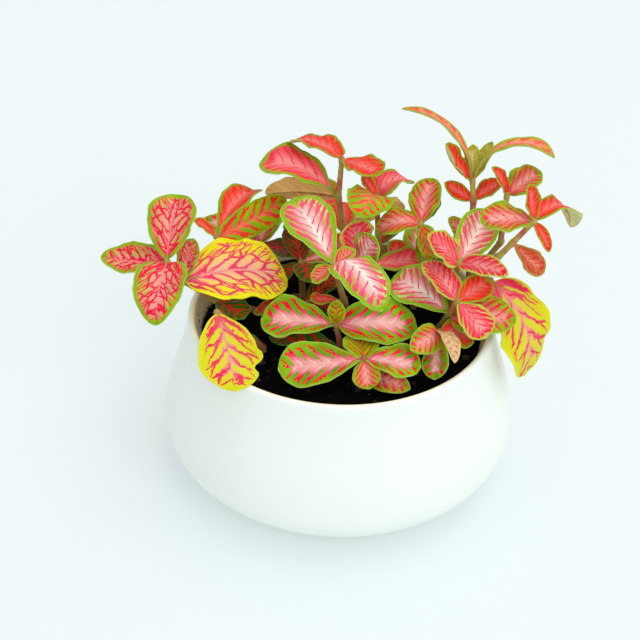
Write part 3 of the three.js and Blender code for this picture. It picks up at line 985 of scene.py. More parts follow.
@dataclass(frozen=True)
class GlazeFinish:
    """A satin white glaze, creamier inside, with splashes of soil between the soil and the rim.

    The inside starts at the middle of the lip, where it blends over rim_blend to each side. The cream
    comes in between the heights of cream_from, and the splashes end between those of dirt_until. All
    are in millimetres.
    """

    white: int = 0xF1F6F0
    shade: int = 0xECF2EA
    cream: int = 0xFCEEC8
    dirt: int = 0x6A4828
    rim_blend: float = 0.6
    cream_from: tuple[float, float] = (SOIL_HEIGHT / 2, SOIL_HEIGHT - 5)
    dirt_until: tuple[float, float] = (POT_HEIGHT - 5, POT_HEIGHT - 1.5)
    dirt_edge: tuple[float, float] = (0.55, 0.62)
    damp_edge: tuple[float, float] = (0.4, 0.6)
    cloud_scale: float = 30.0
    dirt_scale: float = 260.0
    damp_scale: float = 70.0
    swell_scale: float = 25.0
    grain_scale: float = 900.0
    grain_share: float = 0.04
    bump_height: float = 0.0006
    bump_share: float = 0.25
    roughness: float = 0.24
    uneven: float = 0.12
    gloss: float = 0.5

    def material(self) -> bpy.types.Material:
        """The pot's material."""
        w = Wires("white_glaze")
        place = w.place()
        x, y, z = w.parts(place)
        radius = w.math("SQRT", w.add(w.times(x, x), w.times(y, y)))
        middle = RIM_RADIUS - WALL / 2
        inside = w.fall(radius, (middle - self.rim_blend) * MM, (middle + self.rim_blend) * MM)
        inside = w.times(inside, w.rise(z, *(height * MM for height in self.cream_from)))
        cloud = w.noise(place, self.cloud_scale, detail=3.0)
        colour = w.mix(inside, w.mix(cloud, linear(self.white), linear(self.shade)), linear(self.cream))
        spots = w.rise(w.noise(place, self.dirt_scale, detail=5.0, rough=0.65), *self.dirt_edge)
        damp = w.rise(w.noise(place, self.damp_scale), *self.damp_edge)
        damp = w.times(w.fall(z, *(height * MM for height in self.dirt_until)), damp)
        colour = w.mix(w.times(spots, w.times(inside, damp)), colour, linear(self.dirt))
        grain = w.times(w.noise(place, self.grain_scale), self.grain_share)
        w.bump(w.add(w.noise(place, self.swell_scale), grain), self.bump_height, self.bump_share)
        rough = w.add(w.times(cloud, self.uneven), self.roughness)
        return w.finish(colour, rough, Specular_IOR_Level=self.gloss)


@dataclass(frozen=True)
class SoilFinish:
    """Dark damp peat with reddish and straw-coloured bits. Its default dark and brown are near black: the
    peat's own dark colour with painted shade from the leaves over it.
    """

    # Near black: dark peat with painted shade from the leaves over it
    dark: int = 0x020203
    brown: int = 0x0A0807
    straw: int = 0x42322A
    grain_scale: float = 700.0
    grain_edge: tuple[float, float] = (0.35, 0.75)
    bit_scale: float = 380.0
    bit_full: float = 1.02
    bit_share: float = 0.6
    bump_height: float = 0.0012
    bump_share: float = 0.8
    roughness: float = 0.9
    gloss: float = 0.06

    def material(self, name: str, bits: float) -> bpy.types.Material:
        """The soil's material.

        Args:
            name: The material's name.
            bits: How common the pale bits are, from 0 to 1.

        Returns:
            The material.
        """
        w = Wires(name)
        place = w.place()
        grain = w.noise(place, self.grain_scale, detail=5.0, rough=0.7)
        colour = w.mix(w.rise(grain, *self.grain_edge), linear(self.dark), linear(self.brown))
        bit = w.parts(w.cells(place, self.bit_scale, output="Color"))[0]
        pale = w.rise(bit, 1.0 - bits, self.bit_full - bits * self.bit_share)
        colour = w.mix(pale, colour, linear(self.straw))
        w.bump(w.add(grain, w.cells(place, self.bit_scale)), self.bump_height, self.bump_share)
        return w.finish(colour, self.roughness, Specular_IOR_Level=self.gloss)


BARK = SoilFinish(dark=0x2A1A14, brown=0x3E2A20, straw=0x6A5444)


@dataclass(frozen=True)
class FloorFinish:
    """A plain pale studio floor, with a glow of its own that keeps the pot's shade faint."""

    pale: int = 0xBEC5C7
    second: int = 0xBBC3C6
    glow: int = 0x969C9A
    scale: float = 2.0
    roughness: float = 0.7
    gloss: float = 0.2

    def material(self) -> bpy.types.Material:
        """The floor's material."""
        w = Wires("pale_floor")
        shade = w.mix(w.noise(w.place(), self.scale), linear(self.pale), linear(self.second))
        glow = {"Emission_Color": linear(self.glow), "Emission_Strength": 1.0}
        return w.finish(shade, self.roughness, Specular_IOR_Level=self.gloss, **glow)


def deselect() -> None:
    """Leaves nothing selected."""
    for thing in bpy.context.selected_objects:
        thing.select_set(False)
    bpy.context.view_layer.objects.active = None


def pick(*things: bpy.types.Object) -> None:
    """Selects some objects and nothing else.

    Args:
        things: The objects, of which the first becomes the active one.
    """
    deselect()
    for thing in things:
        thing.select_set(True)
    bpy.context.view_layer.objects.active = things[0]


def place_points(thing: bpy.types.Object, points: np.ndarray) -> None:
    """Moves all of a mesh's points, given in metres."""
    thing.data.vertices.foreach_set("co", np.asarray(points, np.float32).ravel())
    thing.data.update()


def points_of(thing: bpy.types.Object) -> np.ndarray:
    """Reads a mesh's points.

    Args:
        thing: The mesh object.

    Returns:
        Its points as rows, in metres.
    """
    co = np.zeros(len(thing.data.vertices) * 3, np.float32)
    thing.data.vertices.foreach_get("co", co)
    return co.reshape(-1, 3).astype(float)


def carry(thing: bpy.types.Object, name: str, *values: object) -> None:
    """Writes a vector at each point of a mesh.

    Args:
        thing: The mesh object.
        name: The name that the materials read it by.
        values: Its three parts, each a number or a row of numbers.
    """
    rows = np.stack(np.broadcast_arrays(*values), 1)
    attribute = thing.data.attributes.new(name, "FLOAT_VECTOR", "POINT")
    attribute.data.foreach_set("vector", rows.astype(np.float32).ravel())


def join(things: Sequence[bpy.types.Object], name: str) -> bpy.types.Object:
    """Joins some meshes.

    Args:
        things: The meshes, which all go into the first of them.
        name: The name of the mesh that they make.

    Returns:
        The joined mesh object.
    """
    pick(*things)
    bpy.ops.object.join()
    made = bpy.context.view_layer.objects.active
    made.name = name
    made.data.name = name
    deselect()
    return made


def smooth(thing: bpy.types.Object, degrees: float) -> None:
    """Shades a mesh smooth.

    Args:
        thing: The mesh object.
        degrees: The angle from which on an edge stays sharp.
    """
    pick(thing)
    bpy.ops.object.shade_smooth_by_angle(angle=math.radians(degrees))
    deselect()


def repeated(template: bpy.types.Object, places: Sequence[Matrix], name: str) -> bpy.types.Object:
    """One mesh of many copies of a small template, which is then removed.

    Args:
        template: The mesh to copy.
        places: Where each copy goes.
        name: The new piece's name.

    Returns:
        The new mesh object.
    """
    points = points_of(template)
    faces = [tuple(face.vertices) for face in template.data.polygons]
    spots = np.array([np.array(place) for place in places])
    moved = np.einsum("nij,pj->npi", spots[:, :3, :3], points) + spots[:, None, :3, 3]
    count = len(points)
    copies = [tuple(v + k * count for v in face) for k in range(len(places)) for face in faces]
    mesh = bpy.data.meshes.new(name)
    mesh.from_pydata(moved.reshape(-1, 3).tolist(), [], copies)
    made = bpy.data.objects.new(name, mesh)
    bpy.context.scene.collection.objects.link(made)
    bpy.data.objects.remove(template)
    return made


def dress(thing: bpy.types.Object, node: str) -> None:
    """Sets a finished piece on the body that it rides on and hides the CAD node that it stands for.

    Args:
        thing: The finished piece.
        node: The CAD node that it replaces.
    """
    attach(thing, BODY)
    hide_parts(node)
    log.info("%s: %d faces", thing.name, len(thing.data.polygons))


@dataclass(frozen=True)
class Leaf:
    """One leaf of a stem.

    Angles are in degrees and lengths in millimetres. at is the point of the stem that it grows at,
    droop the turn from base to tip, fold the lift of each half, and widest the place along it where it
    is widest. A torn leaf has a notch that far along its left margin, or along the right one where it
    is negative, and tear is the notch's depth as a share of half the width.
    """

    at: int
    azimuth: float
    rise: float
    length: float
    width: float
    roll: float
    droop: float
    fold: float
    widest: float
    look: Look
    torn: float = 0.0
    tear: float = 0.0

    def directions(self) -> tuple[np.ndarray, np.ndarray, np.ndarray]:
        """The unit directions along the chord, across it and out of the upper face."""
        a, r, q = (math.radians(angle) for angle in (self.azimuth, self.rise, self.roll))
        along = np.array((math.cos(r) * math.cos(a), math.cos(r) * math.sin(a), math.sin(r)))
        level = np.array((-math.sin(a), math.cos(a), 0.0))
        across = level * math.cos(q) + np.cross(along, level) * math.sin(q)
        return along, across, np.cross(along, across)

    def crowding(self) -> float:
        """The share of its look's side veins that a leaf of this size has."""
        return FEWEST_VEINS + (1 - FEWEST_VEINS) * min(self.length / FULL_VEINS, 1)

    def winged(self) -> float:
        """How far the blade runs down beside its stalk, in millimetres."""
        return STALK_LENGTH + STALK_SHARE * self.length - WING_START

    def half_width(self, share: np.ndarray) -> np.ndarray:
        """Half of the blade's width.

        Args:
            share: Shares of the blade's whole length.

        Returns:
            Half the width at each, in millimetres.
        """
        wing = self.winged()
        power = math.log(0.5) / math.log((self.widest * self.length + wing) / (self.length + wing))
        fullness = np.where(share**power < 0.5, BASE_FULLNESS, BLADE_FULLNESS)
        swell = np.sin(math.pi * share**power).clip(0) ** fullness
        return np.maximum(self.width / 2 * swell, np.where(share < 0.5, STALK_HALF, TIP_HALF))

    def midrib(self, stem_point: np.ndarray, share: np.ndarray) -> tuple[np.ndarray, np.ndarray]:
        """The midrib at shares of the blade's whole length, along the stalk and then on its arc.

        Args:
            stem_point: Where the leaf grows, in millimetres.
            share: Shares of the length.

        Returns:
            The points, and the direction out of the face at each.
        """
        along, _, up = self.directions()
        wing = self.winged()
        run = share * (self.length + wing) - wing
        droop = math.radians(self.droop)
        lean = droop * (0.5 - np.maximum(run, 0) / self.length)
        reach = self.length * (math.sin(droop / 2) - np.sin(lean)) / droop
        height = self.length * (np.cos(lean) - math.cos(droop / 2)) / droop
        stalk = along * math.cos(droop / 2) + up * math.sin(droop / 2)
        base = stem_point + stalk * (WING_START + wing)
        points = base + np.multiply.outer(reach, along) + np.multiply.outer(height, up)
        points += np.multiply.outer(np.minimum(run, 0), stalk)
        faces = np.multiply.outer(np.cos(lean), up) - np.multiply.outer(np.sin(lean), along)
        return points, faces

    def margin(self, u: np.ndarray, t: np.ndarray, seed: float) -> np.ndarray:
        """Half of the blade's width with its notches and its torn place.

        Args:
            u: Places across the blade, from -1 to 1.
            t: Places along it, from 0 to 1.
            seed: The leaf's number.

        Returns:
            The half width at each place, in millimetres.
        """
        turns = 2 * math.pi * t
        notches = BROAD_NOTCH * np.sin(BROAD_NOTCHES * turns + seed + NOTCH_SHIFT * (u > 0))
        notches += SMALL_NOTCH * np.sin(SMALL_NOTCHES * turns - seed)
        if self.torn:
            torn = np.exp(-(((t - abs(self.torn)) / TEAR_SPREAD) ** 2)) * (u * self.torn > 0)
            notches -= self.tear * torn
        return self.half_width(t) * (1 + notches)

    def relief(self, u: np.ndarray, t: np.ndarray, half: np.ndarray, seed: float) -> np.ndarray:
        """The puckers between the veins, the groove over the midrib and the ruffles of the margin.

        Args:
            u: Places across the blade, from -1 to 1.
            t: Places along it, from 0 to 1.
            half: The half width at each, in millimetres.
            seed: The leaf's number.

        Returns:
            How far the face stands out at each, in millimetres.
        """
        out = np.abs(u * half) / (self.length + self.winged())
        veins = LEAF_FINISHES[self.look].veins * self.crowding()
        start = t - (VEIN_SLOPE - VEIN_OPENING * t) * out - VEIN_BEND * out**2
        phase = start * veins + np.where(u > 0, VEIN_STEP, 0.0) + seed * LEAF_STEP
        pucker = 0.5 - 0.5 * np.cos(2 * math.pi * (phase - 0.5))
        body = np.minimum(np.abs(u) / PUCKER_START, 1) * (1 - u**MARGIN_POWER)
        groove = np.exp(-((u * half / GROOVE_WIDTH) ** 2)) * (1 - t)
        depth = PUCKER_SHARE * self.width + PUCKER_LEAST
        slow = np.sin(2 * math.pi * SLOW_RUFFLE * t + seed)
        quick = np.sin(2 * math.pi * QUICK_RUFFLE * t + QUICK_SHIFT * seed + SIDE_SHIFT * (u > 0))
        ruffle = (slow + QUICK_SHARE * quick) * np.sin(math.pi * t)
        return depth * (pucker * body - groove) + RUFFLE_SHARE * self.width * u**MARGIN_POWER * ruffle

    def blade(self, stem_point: np.ndarray, template: bpy.types.Object, seed: float) -> bpy.types.Object:
        """A blade of one layer from a flat grid.

        Args:
            stem_point: Where the leaf grows, in millimetres.
            template: A flat grid from -1 to 1 each way.
            seed: The leaf's number, which varies its pattern.

        Returns:
            The blade as a new mesh object.
        """
        thing = template.copy()
        thing.data = template.data.copy()
        bpy.context.scene.collection.objects.link(thing)
        flat = points_of(thing)
        u = -flat[:, 0]
        t = (flat[:, 1] + 1) / 2
        half = self.margin(u, t, seed)
        centre, face = self.midrib(stem_point, t)
        _, across, _ = self.directions()
        fold = math.radians(self.fold)
        phase = 2 * math.pi * WAVE_COUNT * t + self.azimuth
        wave = WAVE_SHARE * self.width * np.sin(math.pi * t) * np.sin(phase)
        lift = np.abs(u) * half * math.sin(fold) + u**2 * wave * np.sign(u) + self.relief(u, t, half, seed)
        points = centre + np.multiply.outer(u * half * math.cos(fold), across) + face * lift[:, None]
        place_points(thing, points * MM)
        long = self.length + self.winged()
        inset = np.minimum(half * (1 - np.abs(u)), (1 - t) * long * TIP_SLANT)
        carry(thing, "blade_share", u, t, seed)
        carry(thing, "blade_place", u * half / long, inset / self.width, inset)
        carry(thing, "blade_size", np.full_like(u, self.crowding()), 0.0, 0.0)
        return thing


@dataclass
class Foliage:
    """What all leafy stems share: the leaf materials, the stem's and the hairs'."""

    seed: int = 7
    hair_gap: float = 0.62

    def __post_init__(self) -> None:
        """Makes the materials and the flat grids that the blades start from."""
        self.chance = random.Random(self.seed)
        self.upper = {look: finish.material(f"leaf_{look.value}") for look, finish in LEAF_FINISHES.items()}
        self.lower = {
            look: finish.material(f"underside_{look.value}") for look, finish in UNDERSIDES.items()
        }
        self.plain_lower = PLAIN_UNDERSIDE.material("underside")
        self.stem = StemFinish().material()
        self.hair = HairFinish().material()
        self.grids = {True: self.grid(*LONG_GRID), False: self.grid(*SHORT_GRID)}

    def grid(self, columns: int, rows: int) -> bpy.types.Object:
        """A flat grid from -1 to 1 each way.

        Args:
            columns: Its faces across.
            rows: Its faces along.

        Returns:
            The grid as a mesh object.
        """
        bpy.ops.mesh.primitive_grid_add(x_subdivisions=columns, y_subdivisions=rows, size=2)
        made = bpy.context.view_layer.objects.active
        deselect()
        return made

    def clear(self) -> None:
        """Removes the flat grids."""
        for made in self.grids.values():
            bpy.data.objects.remove(made)


@dataclass(frozen=True)
class LeafyStem:
    """One stem with its leaves, from its foot in the soil to the bud at its end.

    path holds its points in millimetres, from just above the soil on.
    """

    name: str
    path: tuple[tuple[float, float, float], ...]
    leaves: tuple[Leaf, ...]

    def stem_points(self) -> list[tuple[np.ndarray, float]]:
        """The stem's points and radii, swollen at its joints."""
        path = [np.array(point, float) for point in self.path]
        last = len(path) - 1
        taper = STEM_TOP_RADIUS - STEM_FOOT_RADIUS
        radii = [STEM_FOOT_RADIUS + taper * i / last for i in range(len(path))]
        steps = [(high - low) / np.linalg.norm(high - low) for low, high in zip(path, path[1:])]
        rows = [(np.array((*path[0][:2], STEM_END)), STEM_FOOT_RADIUS), (path[0], radii[0])]
        for i, step in enumerate(steps, 1):
            length = float(np.linalg.norm(path[i] - path[i - 1]))
            rows.append((path[i] - step * length * 0.5, (radii[i - 1] + radii[i]) / 2))
            rows += [(path[i] + step * offset, radii[i] * share) for offset, share in JOINT_RINGS]
            if i < last:
                rows.append((path[i] + steps[i] * JOINT_END, radii[i]))
        rows.append((path[-1] + steps[-1] * BUD_LENGTH, STEM_TOP_RADIUS * BUD_SHARE))
        return rows

    def stalk_points(self, leaf: Leaf) -> list[tuple[np.ndarray, float]]:
        """A leaf stalk's points and radii, on along the underside as the midrib.

        Args:
            leaf: The leaf.

        Returns:
            The points with a radius each, in millimetres.
        """
        start = np.array(self.path[leaf.at], float)
        points, faces = leaf.midrib(start, np.array(STALK_ROWS))
        slim = SLIMMEST + (1 - SLIMMEST) * min(leaf.length / FULL_STALK, 1)
        rows = [(start, STALK_HALF)]
        for point, face, depth, radius in zip(points, faces, STALK_DEPTHS, STALK_RADII):
            rows.append((point - face * (depth * slim), radius * slim))
        return rows

    def tube(self, points: Sequence[tuple[np.ndarray, float]], curve: bpy.types.Curve) -> None:
        """Adds a round tube to a curve.

        Args:
            points: The tube's points with a radius each, in millimetres.
            curve: The curve.
        """
        spline = curve.splines.new("POLY")
        spline.points.add(len(points) - 1)
        for spot, (point, radius) in zip(spline.points, points):
            spot.co = (*(np.asarray(point) * MM), 1.0)
            spot.radius = radius * MM

    def tubes(self, foliage: Foliage) -> bpy.types.Object:
        """The stem with its leaf stalks.

        Args:
            foliage: The shared materials and grids.

        Returns:
            A mesh of round tubes.
        """
        curve = bpy.data.curves.new(self.name, "CURVE")
        curve.dimensions = "3D"
        curve.bevel_depth = 1.0
        curve.bevel_resolution = 3
        curve.use_fill_caps = True
        self.tube(self.stem_points(), curve)
        for leaf in self.leaves:
            self.tube(self.stalk_points(leaf), curve)
        thing = bpy.data.objects.new(self.name, curve)
        bpy.context.scene.collection.objects.link(thing)
        pick(thing)
        bpy.ops.object.convert(target="MESH")
        made = bpy.context.view_layer.objects.active
        made.data.materials.append(foliage.stem)
        smooth(made, STEM_SMOOTH)
        return made

    def hair_places(
        self, low: tuple[np.ndarray, float], high: tuple[np.ndarray, float], foliage: Foliage
    ) -> list[Matrix]:
        """Scatters hairs round one length of tube.

        Args:
            low: The point and radius that it starts at.
            high: The point and radius that it ends at.
            foliage: The random numbers and the hairs' spacing.

        Returns:
            Where each hair goes, in metres.
        """
        (first, thick), (second, thin) = low, high
        chance = foliage.chance
        reach = np.linalg.norm(second - first)
        step = Vector((second - first) / max(reach, TINY))
        places = []
        for _ in range(int(reach * thick * 2 / foliage.hair_gap)):
            share = chance.random()
            turn = chance.uniform(0, 2 * math.pi)
            side = step.orthogonal().normalized()
            side.rotate(Matrix.Rotation(turn, 3, step))
            lean = (side + step * chance.uniform(*HAIR_LEANS)).normalized()
            centre = Vector(first + (second - first) * share)
            spot = (centre + side * (thick + (thin - thick) * share) * HAIR_START) * MM
            facing = lean.to_track_quat("Z", "Y").to_matrix().to_4x4()
            long = chance.uniform(*HAIR_LENGTHS)
            size = Matrix.Diagonal((HAIR_WIDTH * MM, HAIR_WIDTH * MM, long * MM, 1.0))
            places.append(Matrix.Translation(spot) @ facing @ size)
        return places

    def hairs(self, foliage: Foliage) -> bpy.types.Object:
        """Short hairs all round the stem and the leaf stalks.

        Args:
            foliage: The shared materials and grids.

        Returns:
            All the hairs as one mesh.
        """
        place = (0, 0, 0.5)
        bpy.ops.mesh.primitive_cone_add(vertices=3, radius1=1.0, radius2=0.0, depth=1.0, location=place)
        template = bpy.context.view_layer.objects.active
        template.data.transform(template.matrix_world)
        template.matrix_world = Matrix.Identity(4)
        stalks = [self.stalk_points(leaf)[:HAIRY_STALK_ROWS] for leaf in self.leaves]
        places = []
        for rows in [self.stem_points()[1:], *stalks]:
            for low, high in zip(rows, rows[1:]):
                places += self.hair_places(low, high, foliage)
        made = repeated(template, places, f"{self.name}_hairs")
        made.data.materials.append(foliage.hair)
        return made

    def blades(self, foliage: Foliage, first: int) -> list[bpy.types.Object]:
        """The stem's blades, each with its two faces and their materials.

        Args:
            foliage: The shared materials and grids.
            first: The number of its first leaf.

        Returns:
            The blades as mesh objects.
        """
        made = []
        for k, leaf in enumerate(self.leaves):
            template = foliage.grids[leaf.length >= LONG_LEAF]
            thing = leaf.blade(np.array(self.path[leaf.at], float), template, first + k)
            thing.data.materials.append(foliage.upper[leaf.look])
            thing.data.materials.append(foliage.lower.get(leaf.look, foliage.plain_lower))
            pick(thing)
            shell = thing.modifiers.new("thickness", "SOLIDIFY")
            shell.thickness = BLADE_THICKNESS * MM
            shell.offset = 0.0
            shell.material_offset = 1
            bpy.ops.object.modifier_apply(modifier=shell.name)
            smooth(thing, FINE_SMOOTH)
            made.append(thing)
        return made

    def build(self, foliage: Foliage, slot: Slot, first: int) -> None:
        """Builds and dresses the stem, whose leaves are numbered on from a first number."""
        parts = [self.tubes(foliage), self.hairs(foliage), *self.blades(foliage, first)]
        dress(join(parts, f"{self.name}_stem"), f"leafy_stem_{self.name}")


